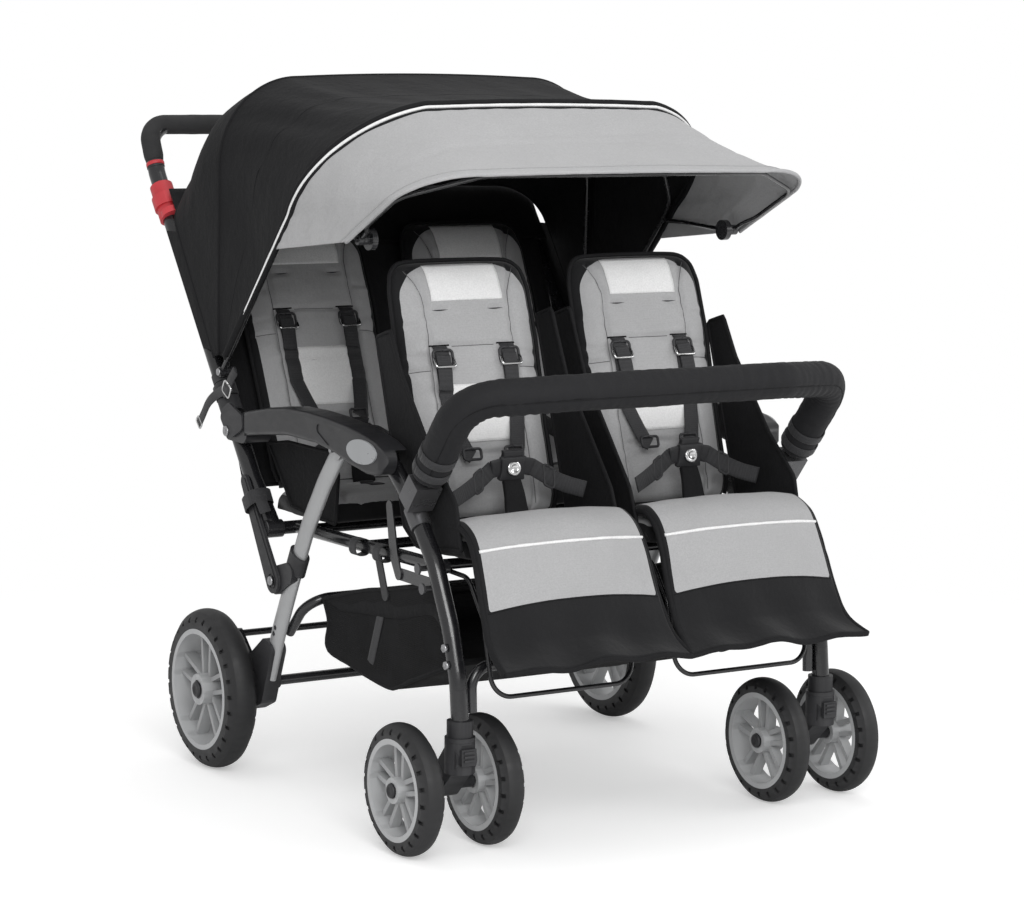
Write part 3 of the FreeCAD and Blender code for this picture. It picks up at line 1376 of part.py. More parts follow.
def bow(pivot, angle, x, length, leg, top_half, radius):
    """A bent rod with an eye at each foot."""
    points = [turned(pivot, angle, x, eye_radius * 0.8), turned(pivot, angle, x, leg)]
    points += [turned(pivot, angle, top_half, length), turned(pivot, angle, -top_half, length)]
    points += [turned(pivot, angle, -x, leg), turned(pivot, angle, -x, eye_radius * 0.8)]
    hoop = bar(points, bow_bend, radius)
    eyes = both(rod_x(eye_radius, x - eye_thickness / 2, x + eye_thickness / 2, pivot))
    holes = both(rod_x(pin_radius + pin_clearance, x - eye_thickness, x + eye_thickness, pivot))
    return hoop.multiFuse(eyes).cut(Part.makeCompound(holes))


def make_bows(pivot):
    front_x = canopy_half_width - canopy_wall - bow_inset
    rear_x = front_x - bow_side_step
    inset = canopy_wall + bow_radius + side_gap
    front_inset = canopy_wall + 2.6 * (bow_radius + side_gap)
    front = bow(pivot, front_bow_angle - front_bow_turn, front_x, front_bow_length - front_inset,
            front_bow_leg,
                front_bow_top_half, bow_radius)
    rear = bow(pivot, rear_bow_angle, rear_x, rear_bow_length - inset, rear_bow_leg,
            rear_bow_top_half, bow_radius)
    knob = (knob_y, knob_z)
    start = turned(pivot, front_bow_angle - front_bow_turn, front_x, side_wire_share * front_bow_leg)
    end = at(knob_x + side_wire_radius, knob)
    outer_bend = V(front_x, start.y + 0.3 * (end.y - start.y), start.z + 0.1 * (end.z - start.z))
    inner_bend = V(end.x, start.y + 0.8 * (end.y - start.y), start.z + 0.7 * (end.z - start.z))
    wire = bar([start, outer_bend, inner_bend, end], 20 * side_wire_radius, side_wire_radius)
    wire_eye = rod_x(eye_radius, knob_x, knob_x + eye_thickness, knob)
    front = front.multiFuse(both(wire) + both(wire_eye))
    hole = rod_x(pin_radius, knob_x - cut_overrun, knob_x + 2 * eye_thickness, knob)
    front = front.cut(Part.makeCompound(both(hole)))
    save("canopy_rear_bow", [rear])

    knob_disc = rod_x(knob_radius, knob_x - knob_thickness - slide_clearance,
            knob_x - slide_clearance, knob)
    knob_pin = rod_x(pin_radius, knob_x - slide_clearance, knob_x + 2.3 * eye_thickness, knob)
    save("canopy_front_bow", [front] + both(knob_disc.fuse(knob_pin)))

    heading = handle_heading()
    foot = V(handle_x, handle_pivot_y, handle_pivot_z) + heading * (canopy_pivot_reach - eye_radius)
    ring = Part.makeCylinder(handle_tube_radius + clip_wall, 2 * eye_radius, foot, heading)
    hole = Part.makeCylinder(handle_tube_radius + axle_clearance, 6 * eye_radius,
            foot - heading * (2 * eye_radius), heading)
    lobe_high = rear_x - eye_thickness / 2 - slide_clearance
    lobe_low = lobe_high - eye_thickness
    tube_place = (foot.y + heading.y * eye_radius, foot.z + heading.z * eye_radius)
    lobe = strip(tube_place, eye_radius, pivot, eye_radius, lobe_low, lobe_high)
    pin = rod_x(pin_radius, lobe_low, front_x + eye_thickness / 2 + side_gap, pivot)
    save("canopy_clips", both(ring.fuse(lobe).fuse(pin).cut(hole)))


def make_visor(pivot):
    knob = (knob_y, knob_z)
    half = canopy_half_width
    back = hood_section(pivot, front_bow_angle + 6 * canopy_seam_turn, visor_side_start,
            front_bow_leg, front_bow_length,
                        front_bow_top_half, canopy_crown, half, canopy_wall)
    hem = hood_section(knob, visor_angle, -eye_radius, visor_tip, visor_reach - canopy_crown,
            visor_top_half,
                       canopy_crown, half, canopy_wall)
    save("canopy_visor", [Part.makeLoft([back, hem], True, True)])

    wire_x = knob_x + 1.5 * eye_thickness + 2 * slide_clearance
    inset = canopy_wall + visor_wire_radius + 3 * side_gap
    side = half - inset
    points = [turned(knob, visor_angle, wire_x, eye_radius * 0.8),
            turned(knob, visor_angle, wire_x, 3 * eye_radius)]
    points += [turned(knob, visor_angle, side, 6 * eye_radius),
            turned(knob, visor_angle, side, visor_tip)]
    points.append(turned(knob, visor_angle, visor_top_half, visor_reach - inset - canopy_crown))
    wire = bar(points + [V(-p.x, p.y, p.z) for p in reversed(points)], visor_bend,
               visor_wire_radius)
    eye = rod_x(eye_radius, wire_x - eye_thickness / 2, wire_x + eye_thickness / 2, knob)
    hole = rod_x(pin_radius + pin_clearance, wire_x - eye_thickness, wire_x + eye_thickness, knob)
    save("visor_wire", [wire.multiFuse(both(eye)).cut(Part.makeCompound(both(hole)))])


make_wheels()
make_caster_forks()
make_front_frame()
make_grab_bar()
make_rear_frame()
make_brake()
make_armrests()
make_handle()
make_triggers()
make_lock_links()
make_seat_backs()
make_seat_pans()
make_calf_flaps()
make_seat_frame()
make_back_plates()
make_wings()
make_harnesses()
make_basket()
make_canopy()
print("canopy pivot", canopy_pivot(), "grab bend", grab_bend())
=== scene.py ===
import math

import bmesh
import bpy
import numpy as np
from mathutils import Matrix, Vector, noise
from mathutils.bvhtree import BVHTree


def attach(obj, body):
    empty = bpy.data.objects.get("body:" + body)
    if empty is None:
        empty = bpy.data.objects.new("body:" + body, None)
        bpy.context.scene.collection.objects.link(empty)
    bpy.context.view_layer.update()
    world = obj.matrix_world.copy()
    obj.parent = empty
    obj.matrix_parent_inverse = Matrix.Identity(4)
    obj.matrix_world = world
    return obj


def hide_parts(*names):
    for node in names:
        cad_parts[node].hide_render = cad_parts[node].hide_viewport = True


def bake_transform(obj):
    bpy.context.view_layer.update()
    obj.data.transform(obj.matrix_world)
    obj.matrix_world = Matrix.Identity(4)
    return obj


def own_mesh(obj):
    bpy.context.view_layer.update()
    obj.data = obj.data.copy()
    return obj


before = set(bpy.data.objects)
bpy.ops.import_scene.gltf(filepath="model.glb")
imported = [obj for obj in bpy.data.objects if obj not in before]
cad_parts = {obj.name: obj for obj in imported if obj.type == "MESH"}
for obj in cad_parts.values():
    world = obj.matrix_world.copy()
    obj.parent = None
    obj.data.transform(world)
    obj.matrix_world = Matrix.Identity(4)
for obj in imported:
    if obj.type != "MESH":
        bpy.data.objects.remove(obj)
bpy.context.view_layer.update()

# Places are in millimetres, with y counted from the front seats' hip line as in the part's source
MIDDLE = 186.9
HINGE = (441.5497, 633.3042)
VISOR_HINGE = (5.0, 865.0)
FRONT_ANGLE, FRONT_REACH, FRONT_LEG, FRONT_TOP = 133.7, 584, 361, 206
REAR_ANGLE, REAR_REACH, REAR_LEG, REAR_TOP = 91.6, 467, 330, 215
CANOPY_HALF, BOW_FOOT = 354.0, 27
SEAT_X, SEAT = 158.0, 0.158
TUBE_X = 338
LEG_HEAD, LEG_FOOT = (60.0, 550.0), (298.0, 165.0)
FRONT_BACK = ((-95.0, 456.5), (16.0, 836.0))
REAR_BACK = ((375.0, 456.5), (545.0, 866.0))
HANDLE_RUN = (0.597703, 0.801717)
ACROSS, DOWN = (1, 0, 0), Vector((0, 0, -1))
SIDES = ((1, "right"), (-1, "left"))
CLOTH_THICK = 0.0014
WEB = 0.025


def P(x, y, z):
    return Vector((x, y - MIDDLE, z)) / 1000


def chord(start, end, shares):
    """Points given as shares along a line and, to its left, of its length."""
    dy, dz = end[0] - start[0], end[1] - start[1]
    return [(start[0] + s * dy - t * dz, start[1] + s * dz + t * dy) for s, t in shares]


HANDLE = chord((283.0, 401.0), (737.0, 1020.0), [(0, 0), (0.129, -0.017), (0.887, -0.023), (1, 0)])


# Materials


def graph(name):
    m = bpy.data.materials.new(name)
    m.use_nodes = True
    return m, m.node_tree, m.node_tree.nodes["Principled BSDF"]


def feed(nt, target, inputs):
    """Numbers and colours are set on the sockets; outputs of other nodes are linked to them."""
    for key, value in inputs.items():
        if isinstance(value, bpy.types.NodeSocket):
            nt.links.new(value, target.inputs[key])
        elif value is not None:
            target.inputs[key].default_value = value


def node(nt, kind, inputs=None, **props):
    n = nt.nodes.new("ShaderNode" + kind)
    for key, value in props.items():
        setattr(n, key, value)
    feed(nt, n, inputs or {})
    return n


def spot(nt):
    return node(nt, "TexCoord").outputs["Object"]


def noise_tex(nt, scale, detail=3.0, stretch=(1, 1, 1)):
    at = node(nt, "Mapping", {"Vector": spot(nt), "Scale": stretch}).outputs["Vector"]
    return node(nt, "TexNoise", {"Scale": scale, "Detail": detail, "Roughness": 0.55, "Vector": at}).outputs["Fac"]


def math_node(nt, op, a, b):
    return node(nt, "Math", {0: a, 1: b}, operation=op).outputs[0]


def remap(nt, value, low, high, out_low, out_high):
    ends = {"From Min": low, "From Max": high, "To Min": out_low, "To Max": out_high}
    return node(nt, "MapRange", {"Value": value, **ends}).outputs["Result"]


def shade(color, factor):
    return tuple(min(1.0, c * factor) for c in color) + (1.0,)


def mix_color(nt, fac, a, b):
    """The colours are inputs 6 and 7 of the mix, and the mixed colour is its output 2."""
    return node(nt, "Mix", {"Factor": fac, 6: a, 7: b}, data_type="RGBA").outputs[2]


def add_bump(nt, bsdf, parts):
    """parts: (height output, distance in metres) pairs, chained."""
    last = None
    for height, distance in parts:
        last = node(nt, "Bump", {"Strength": 1.0, "Distance": distance, "Height": height, "Normal": last}).outputs[0]
    nt.links.new(last, bsdf.inputs["Normal"])


def weave(nt, pitch):
    """Crossing threads on any surface: waves along the three axes."""
    at, total = spot(nt), None
    waves = {"Scale": 2 * math.pi / (20 * pitch), "Distortion": 0.6, "Detail": 1.0, "Vector": at}
    for axis in "XYZ":
        wave = node(nt, "TexWave", waves, wave_type="BANDS", bands_direction=axis).outputs["Fac"]
        total = math_node(nt, "ADD", total, wave) if total else wave
    return math_node(nt, "MULTIPLY", total, 0.33)


def cloth(name, color, dark=None, pitch=0.0011, rough=0.82, sheen=0.12, crease=0.0006):
    """Woven cloth. Where the mesh's value named split is above 0 the cloth takes the second colour."""
    m, nt, b = graph(name)
    heather = noise_tex(nt, 420, 4)
    flecks = remap(nt, heather, 0.35, 0.65, 0, 1)
    threads = weave(nt, pitch)
    col = mix_color(nt, flecks, shade(color, 0.9), shade(color, 1.09))
    col = mix_color(nt, remap(nt, noise_tex(nt, 9), 0.3, 0.7, 0, 0.5), col, shade(color, 0.86))
    col = mix_color(nt, remap(nt, threads, 0.2, 0.8, 0.0, 0.35), col, shade(color, 1.12))
    if dark is not None:
        split = node(nt, "Attribute", attribute_name="split").outputs["Fac"]
        second = mix_color(nt, flecks, shade(dark, 0.8), shade(dark, 1.3))
        col = mix_color(nt, math_node(nt, "GREATER_THAN", split, 0.0), col, second)
    feed(nt, b, {"Base Color": col, "Roughness": remap(nt, heather, 0.3, 0.7, rough - 0.06, rough + 0.08),
                 "Sheen Weight": sheen, "Sheen Roughness": 0.5, "Specular IOR Level": 0.25})
    fine = noise_tex(nt, 70, 3, (1.6, 1, 0.6))
    add_bump(nt, b, [(noise_tex(nt, 26), crease * 3), (fine, crease), (threads, 0.00012)])
    return m


def webbing_mat(name, color):
    m, nt, b = graph(name)
    rib, grain = weave(nt, 0.0016), noise_tex(nt, 500)
    feed(nt, b, {"Base Color": mix_color(nt, remap(nt, rib, 0.2, 0.8, 0, 1), shade(color, 0.7), shade(color, 1.5)),
                 "Roughness": remap(nt, grain, 0.3, 0.7, 0.55, 0.75), "Sheen Weight": 0.1})
    add_bump(nt, b, [(rib, 0.0004), (grain, 0.0001)])
    return m


def hard(name, color, rough, metallic=0.0, grain=0.00008, grain_scale=900, tone=0.1, coat=0.0, wear=0.0):
    """Moulded, painted or metal surfaces: fine grain, uneven gloss, lighter worn edges."""
    m, nt, b = graph(name)
    patchy = remap(nt, noise_tex(nt, 14, 4), 0.3, 0.7, 0, 1)
    col = mix_color(nt, patchy, shade(color, 1 - tone), shade(color, 1 + tone))
    if wear:
        edge = remap(nt, node(nt, "NewGeometry").outputs["Pointiness"], 0.53, 0.6, 0.0, wear)
        col = mix_color(nt, edge, col, tuple(min(1, c * 2.2 + 0.03) for c in color) + (1.0,))
    smear = noise_tex(nt, 40, 4, (1, 1, 2.5))
    feed(nt, b, {"Base Color": col, "Metallic": metallic,
                 "Roughness": remap(nt, smear, 0.3, 0.7, rough - 0.06, rough + 0.08)})
    if coat:
        feed(nt, b, {"Coat Weight": coat, "Coat Roughness": 0.12})
    add_bump(nt, b, [(noise_tex(nt, grain_scale, 2), grain)])
    return m


def net_mat(name, color):
    """Open net: rows of small dark holes in black thread."""
    m, nt, b = graph(name)
    cells = node(nt, "TexVoronoi", {"Scale": 330, "Randomness": 0.15, "Vector": spot(nt)}, feature="F1")
    hole = remap(nt, cells.outputs["Distance"], 0.2, 0.45, 0, 1)
    fold = noise_tex(nt, 11)
    col = mix_color(nt, hole, shade(color, 0.25), shade(color, 1.3))
    feed(nt, b, {"Base Color": mix_color(nt, remap(nt, fold, 0.35, 0.65, 0, 0.6), col, shade(color, 2.2)),
                 "Roughness": 0.85, "Sheen Weight": 0.02, "Specular IOR Level": 0.2})
    add_bump(nt, b, [(fold, 0.003), (hole, 0.0006)])
    return m


GREY = (0.40, 0.40, 0.405)
BLACK = (0.0085, 0.0085, 0.0095)
SLEEVE_BLACK = (0.012, 0.012, 0.0135)
SILVER = (0.42, 0.425, 0.43)
M = {
    "grey_cloth": cloth("cloth_grey", GREY),
    "pad_cloth": cloth("cloth_grey_black", GREY, BLACK),
    "visor_cloth": cloth("cloth_visor", (0.42, 0.42, 0.425), BLACK, crease=0.0009),
    "black_cloth": cloth("cloth_black", BLACK, rough=0.8, sheen=0.012, crease=0.0010),
    "pad_sleeve": cloth("cloth_sleeve", SLEEVE_BLACK, rough=0.7, sheen=0.03, crease=0.0005, pitch=0.0014),
    "piping": cloth("cloth_piping_white", (0.86, 0.86, 0.86), rough=0.6, sheen=0.0, crease=0.0002),
    "patch": cloth("cloth_patch_white", (0.80, 0.80, 0.80), rough=0.55, sheen=0.0, crease=0.0004, pitch=0.0007),
    "webbing": webbing_mat("webbing_black", (0.018, 0.018, 0.02)),
    "thread": hard("thread_grey", (0.10, 0.10, 0.102), 0.8, grain=0.00006, tone=0.15),
    "net": net_mat("net_black", (0.005, 0.005, 0.0055)),
    "enamel": hard("enamel_black", (0.010, 0.010, 0.0115), 0.24, grain=0.00003, grain_scale=260, coat=0.5, wear=0.3),
    "silver": hard("enamel_silver", SILVER, 0.36, metallic=0.35, grain=0.00003, grain_scale=300, tone=0.05, coat=0.2),
    "zinc": hard("steel_zinc", (0.42, 0.42, 0.43), 0.34, metallic=1.0, grain=0.00004, grain_scale=400, tone=0.12),
    "clamp": hard("steel_dark", (0.13, 0.13, 0.135), 0.3, metallic=0.7, grain=0.00004, grain_scale=400, tone=0.15),
    "chrome": hard("steel_bright", (0.7, 0.7, 0.7), 0.16, metallic=1.0, grain=0.00002, tone=0.05),
    "plastic": hard("plastic_black", (0.018, 0.018, 0.02), 0.5, grain=0.00007, wear=0.25),
    "gloss": hard("plastic_gloss_black", (0.02, 0.02, 0.022), 0.34, grain=0.00006, grain_scale=700, wear=0.25),
    "badge": hard("plastic_badge_grey", (0.36, 0.37, 0.38), 0.32, metallic=0.2, tone=0.04, coat=0.3),
    "red": hard("plastic_red", (0.52, 0.035, 0.045), 0.38, tone=0.12, wear=0.2),
    "foam": hard("foam_black", (0.022, 0.022, 0.023), 0.85, grain=0.00025, grain_scale=500, tone=0.15),
    "rim": hard("plastic_grey", (0.39, 0.395, 0.40), 0.42, tone=0.06, wear=0.15),
    "tyre": hard("tyre_black", (0.016, 0.016, 0.017), 0.58, grain=0.00016, grain_scale=620, tone=0.2, wear=0.3),
}

NODE_LOOK = {name: look for look, names in {
    "silver": "rear_legs", "gloss": "armrests", "badge": "armrest_medallions", "foam": "handle_grip",
    "clamp": "front_clamps_and_bolts", "zinc": "rear_axles_and_pins armrest_pins",
    "red": "fold_trigger_left fold_trigger_right",
    "plastic": "leg_sleeves rear_brackets joint_covers caster_collars basket_hangers lock_links canopy_clips "
               "caster_fork_left caster_fork_right swivel_lock_left swivel_lock_right",
    "enamel": "rear_cross_tubes handle_tube front_legs front_cross_tube grab_bar seat_rails_and_rods "
              "footrest_wires back_plates brace_bars canopy_rear_bow canopy_front_bow visor_wire brake_bar",
}.items() for name in names.split()}

for part_name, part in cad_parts.items():
    other = "tyre" if "tyre" in part_name else "rim" if "rim" in part_name else "black_cloth"
    part.data.materials.clear()
    part.data.materials.append(M[NODE_LOOK.get(part_name, other)])


# Meshes, lines and the pieces made along them


def add_object(name, data):
    obj = bpy.data.objects.new(name, data)
    bpy.context.scene.collection.objects.link(obj)
    return obj


def smooth_faces(me):
    me.polygons.foreach_set("use_smooth", [True] * len(me.polygons))


def link_mesh(name, verts, faces, look):
    me = bpy.data.meshes.new(name)
    me.from_pydata([tuple(v) for v in verts], [], faces)
    me.validate()
    me.materials.append(M[look])
    smooth_faces(me)
    bm = bmesh.new()
    bm.from_mesh(me)
    bmesh.ops.recalc_face_normals(bm, faces=bm.faces)
    bm.to_mesh(me)
    bm.free()
    return add_object(name, me)


def grid_faces(n, m, wrap=False):
    faces = []
    for i in range(n - 1):
        for j in range(m if wrap else m - 1):
            k = (j + 1) % m
            faces.append((i * m + j, i * m + k, (i + 1) * m + k, (i + 1) * m + j))
    return faces


def capped_faces(n, m):
    """n rings of m corners with a face at each end."""
    ends = [tuple(range(m)), tuple((n - 1) * m + k for k in reversed(range(m)))]
    return grid_faces(n, m, wrap=True) + ends


def co_array(obj):
    co = np.zeros(len(obj.data.vertices) * 3)
    obj.data.vertices.foreach_get("co", co)
    return co.reshape(-1, 3)


def set_co(obj, co):
    obj.data.vertices.foreach_set("co", co.ravel())
    obj.data.update()


def set_split(obj, values):
    at = obj.data.attributes.get("split") or obj.data.attributes.new("split", "FLOAT", "POINT")
    at.data.foreach_set("value", np.asarray(values, np.float32))


def reshape(obj, kind, **settings):
    """Adds a modifier and makes its result the object's own mesh."""
    mod = obj.modifiers.new("shape", kind)
    for key, value in settings.items():
        setattr(mod, key, value)
    deps = bpy.context.evaluated_depsgraph_get()
    me = bpy.data.meshes.new_from_object(obj.evaluated_get(deps), preserve_all_data_layers=True, depsgraph=deps)
    obj.modifiers.clear()
    obj.data = me


def subdivide(obj):
    reshape(obj, "SUBSURF", levels=1, render_levels=1)


def thicken(obj, thickness):
    reshape(obj, "SOLIDIFY", thickness=thickness, offset=0.0)


def catmull(points, per):
    pts = [Vector(p) for p in points]
    out = []
    for i in range(len(pts) - 1):
        a, b, c, d = pts[max(i - 1, 0)], pts[i], pts[i + 1], pts[min(i + 2, len(pts) - 1)]
        for k in range(per):
            t = k / per
            out.append(0.5 * ((2 * b) + (c - a) * t + (2 * a - 5 * b + 4 * c - d) * t * t
                              + (3 * b - a - 3 * c + d) * t ** 3))
    out.append(pts[-1])
    return out


def spaced(points, count):
    p = np.array([tuple(v) for v in points], float)
    s = np.r_[0, np.cumsum(np.linalg.norm(np.diff(p, axis=0), axis=1))]
    t = np.linspace(0, s[-1], count)
    return [Vector(v) for v in np.stack([np.interp(t, s, p[:, k]) for k in range(p.shape[1])], 1)]


def curve(points, per, count):
    """An even line through the points."""
    return spaced(catmull(points, per), count)


def mirrored(points, side):
    return [Vector((p.x * side, p.y, p.z)) for p in points]


def bent(points, radius, steps):
    """Straight runs joined by arcs, for tubes and the sleeves on them."""
    pts = [Vector(p) for p in points]
    out = [pts[0]]
    for a, b, c in zip(pts, pts[1:], pts[2:]):
        u, v = (a - b).normalized(), (c - b).normalized()
        half = u.angle(v) / 2
        r = min(radius, 0.48 * min((a - b).length, (c - b).length) * math.tan(half))
        reach = r / math.tan(half)
        centre = b + (u + v).normalized() * (r / math.sin(half))
        p, q = b + u * reach - centre, b + v * reach - centre
        axis = p.cross(q).normalized()
        for k in range(steps + 1):
            out.append(centre + Matrix.Rotation(p.angle(q) * k / steps, 3, axis) @ p)
    out.append(pts[-1])
    return out


def tangent(points, i):
    return (points[min(i + 1, len(points) - 1)] - points[max(i - 1, 0)]).normalized()


def frames(points):
    """Tangents and a side direction carried along a line without twist."""
    tangents = [tangent(points, i) for i in range(len(points))]
    side = tangents[0].orthogonal().normalized()
    sides = []
    for t in tangents:
        side = (side - t * side.dot(t)).normalized()
        sides.append(side.copy())
    return tangents, sides


def wave(x, y, z):
    return noise.noise(Vector((x, y, z)))


def lumpy(scale, depth):
    """Small unevenness of a sewn or foam surface."""
    return lambda s, a, p: noise.noise(p * scale) * depth


def ring_angles(count):
    return [2 * math.pi * k / count for k in range(count)]


def tube(name, points, radius, look, sides=8, wobble=None):
    """A round piece along a line; radius is a number or a function of the share along it."""
    tangents, across = frames(points)
    verts = []
    n = len(points)
    for i, p in enumerate(points):
        up = tangents[i].cross(across[i])
        share = i / (n - 1)
        r = radius(share) if callable(radius) else radius
        for a in ring_angles(sides):
            rr = r + (wobble(share, a, p) if wobble else 0)
            verts.append(p + (across[i] * math.cos(a) + up * math.sin(a)) * rr)
    return link_mesh(name, verts, capped_faces(n, sides), look)


BAND_PROFILE = ((-1, 0), (-0.92, 1), (-0.5, 1), (0, 1), (0.5, 1), (0.92, 1), (1, 0), (0.92, -1), (0, -1), (-0.92, -1))


def band(name, points, side, width, thick, look, crown=0.0):
    """Flat webbing along a line, wide in the direction of side."""
    n, side = len(points), Vector(side)
    verts = []
    for i, p in enumerate(points):
        t = tangent(points, i)
        s = (side - t * side.dot(t)).normalized()
        up = t.cross(s)
        w = width(i / (n - 1)) if callable(width) else width
        for a, b in BAND_PROFILE:
            verts.append(p + s * (a * w / 2) + up * (b * thick / 2 + crown * (1 - a * a)))
    return link_mesh(name, verts, capped_faces(n, len(BAND_PROFILE)), look)


def round_box(name, size, centre, turn, look, bevel=0.002):
    """A small moulded piece with rounded edges, waisted so that it isn't a plain block."""
    bm = bmesh.new()
    bmesh.ops.create_cube(bm, size=1.0)
    bmesh.ops.subdivide_edges(bm, edges=bm.edges[:], cuts=3, use_grid_fill=True)
    for v in bm.verts:
        x, y, z = v.co
        waist = 1 - 0.10 * (1 - (2 * z) ** 2)
        v.co = Vector((x * size[0] * waist, y * size[1], z * size[2]))
    bmesh.ops.transform(bm, matrix=turn.to_4x4(), verts=bm.verts)
    bmesh.ops.translate(bm, vec=centre, verts=bm.verts)
    me = bpy.data.meshes.new(name)
    bm.to_mesh(me)
    bm.free()
    me.materials.append(M[look])
    obj = add_object(name, me)
    reshape(obj, "BEVEL", width=bevel, segments=3, limit_method="ANGLE")
    smooth_faces(obj.data)
    return obj


def loop_ring(name, centre, right, up, half_w, half_h, radius, look):
    """A wire buckle or slider: a rounded rectangle of wire."""
    corners = ((0, 1), (1, 1), (1, -1), (-1, -1), (-1, 1), (0, 1))
    pts = [centre + right * (a * half_w) + up * (b * half_h) for a, b in corners]
    return tube(name, bent(pts, min(half_w, half_h) * 0.5, 4), radius, look)


def disc(name, centre, axis, radius, height, look, recess, sides=28):
    """A turned fastener with a chamfered, slightly domed face."""
    axis = Vector(axis).normalized()
    s = axis.orthogonal().normalized()
    t = axis.cross(s)
    rings = [(1.0, 0.0), (1.0, 0.7), (0.9, 1.0), (0.55, 1.05), (0.5, 1.0 - recess), (0.05, 1.0 - recess)]
    verts = [centre + axis * (h * height) + (s * math.cos(a) + t * math.sin(a)) * (r * radius)
             for r, h in rings for a in ring_angles(sides)]
    return link_mesh(name, verts, capped_faces(len(rings), sides), look)


def ring_round(name, centre, axis, half_a, half_b, width, look):
    """A strap pulled round a member; half_a is across the seats, half_b the other way."""
    axis = Vector(axis).normalized()
    up = (Vector(ACROSS) - axis * Vector(ACROSS).dot(axis)).normalized()
    side = axis.cross(up)
    pts = []
    for t in np.linspace(0, 2 * math.pi, 48):
        c, s = (math.copysign(abs(w) ** 0.75, w) for w in (math.cos(t), math.sin(t)))
        pts.append(centre + up * (c * half_a) + side * (s * half_b))
    return band(name, pts, tuple(axis), width, 0.0016, look)


def place(obj, body):
    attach(obj, body)


def mirror(obj):
    co = co_array(obj)
    co[:, 0] *= -1
    set_co(obj, co)
    obj.data.flip_normals()


def mirror_copy(obj, name):
    new = add_object(name, obj.data.copy())
    mirror(new)
    return new


def padded_pair(right, left_name, body, replaced):
    """A padded piece and its mirrored twin for the seat on the other side."""
    for obj in (right, mirror_copy(right, left_name)):
        place(obj, body)
    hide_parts(replaced)


def grid(n, m, at):
    """A net of points from shares that run from 0 to 1 both ways."""
    return np.array([[tuple(at(i / (n - 1), j / (m - 1))) for j in range(m)] for i in range(n)])


def lengths(vectors):
    return np.linalg.norm(vectors, axis=2)


def declare_sheet(G):
    """Works out the cut size of a sheet from its middle surface; nothing keeps it."""
    a, b = G[1:, :-1] - G[:-1, :-1], G[:-1, 1:] - G[:-1, :-1]
    c, d = G[1:, :-1] - G[1:, 1:], G[:-1, 1:] - G[1:, 1:]
    area = float((lengths(np.cross(a, b)) / 2).sum() + (lengths(np.cross(c, d)) / 2).sum())
    w = float(lengths(np.diff(G, axis=0)).sum(0).max())
    h = float(lengths(np.diff(G, axis=1)).sum(1).max())
    if w * h < area:
        h = area / w


def sheet_piece(name, G, look, thickness, fine=False):
    """A sheet of cloth made from its middle surface and thickened; its cut size is worked out but not kept."""
    n, m = G.shape[:2]
    obj = link_mesh(name, G.reshape(-1, 3), grid_faces(n, m), look)
    if fine:
        subdivide(obj)
    thicken(obj, thickness)
    declare_sheet(G)
    return obj


# Seat cushions

# share along the pad, share of its half width, share of its depth
PAD = [(0.0, 0.9, 0.84), (0.07, 0.97, 0.92), (0.35, 0.97, 0.9), (0.68, 1.0, 0.95), (0.88, 0.98, 0.92),
       (0.95, 0.93, 0.8), (0.985, 0.82, 0.66), (1.0, 0.66, 0.5)]
PAN = [(0.0, 0.96, 0.9), (0.2, 1.0, 1.0), (0.7, 0.98, 0.98), (1.0, 0.9, 0.98)]
PAD_SHRINK = 0.002
RING_PITCH = 0.0062


def column(stations, k, v):
    return np.interp(v, [s[0] for s in stations], [s[k] for s in stations])


class Cushion:
    """A closed crowned pad on a slanted line, in its own across, along and out axes."""

    def __init__(self, foot, head, half, depth, stations):
        self.half, self.depth, self.stations = half / 1000, depth / 1000, stations
        self.foot = P(SEAT_X, *foot)
        run = P(SEAT_X, *head) - self.foot
        self.length = run.length
        self.along = run.normalized()
        self.out = Vector((0, -self.along.z, self.along.y))

    def spot(self, v):
        return self.foot + self.along * (v * self.length)

    def mesh(self, name):
        rings = int(self.length / RING_PITCH)
        top, low, rim = 40, 30, 5
        verts = []
        for i in range(rings + 1):
            v = i / rings
            w = self.half * column(self.stations, 1, v) - PAD_SHRINK
            t = self.depth * column(self.stations, 2, v) - 2 * PAD_SHRINK
            ends = min(v, 1 - v) * self.length
            close = math.sqrt(max(0.0, 1 - (1 - min(1, ends / 0.014)) ** 2))
            t = max(0.003, t * (0.25 + 0.75 * close))
            base = self.spot(v) - self.out * (self.depth - PAD_SHRINK)
            loop = [(-w * 0.9 + 2 * w * 0.9 * k / (low - 1), 0.0) for k in range(low)]
            rise = [(w * (0.9 + 0.1 * math.sin(a * math.pi / 2)), 0.5 * t * a)
                    for a in (k / (rim + 1) for k in range(1, rim + 1))]
            crown = [1 - 2 * k / (top - 1) for k in range(top)]
            loop += rise + [(w * u, t * (0.55 + 0.45 * (1 - abs(u) ** 5) ** 0.5)) for u in crown]
            loop += [(-a, b) for a, b in reversed(rise)]
            verts += [base + Vector((a, 0, 0)) + self.out * b for a, b in loop]
        m = low + top + 2 * rim
        faces = grid_faces(rings + 1, m, wrap=True)
        tops = [low + rim + top - 1 - round(k * (top - 1) / (low - 1)) for k in range(low)]
        for ring, flip in ((0, False), (rings, True)):
            for k in range(low - 1):
                face = tuple(ring * m + q for q in (k, k + 1, tops[k + 1], tops[k]))
                faces.append(face if flip else face[::-1])
        return link_mesh(name, verts, faces, "pad_cloth")

    def local(self, co):
        d = co - np.array(self.foot)
        v = d @ np.array(self.along) / self.length
        u = d[:, 0] / (self.half * column(self.stations, 1, v))
        h = d @ np.array(self.out) + self.depth
        return u, v, h / (self.depth * column(self.stations, 2, np.clip(v, 0, 1)))


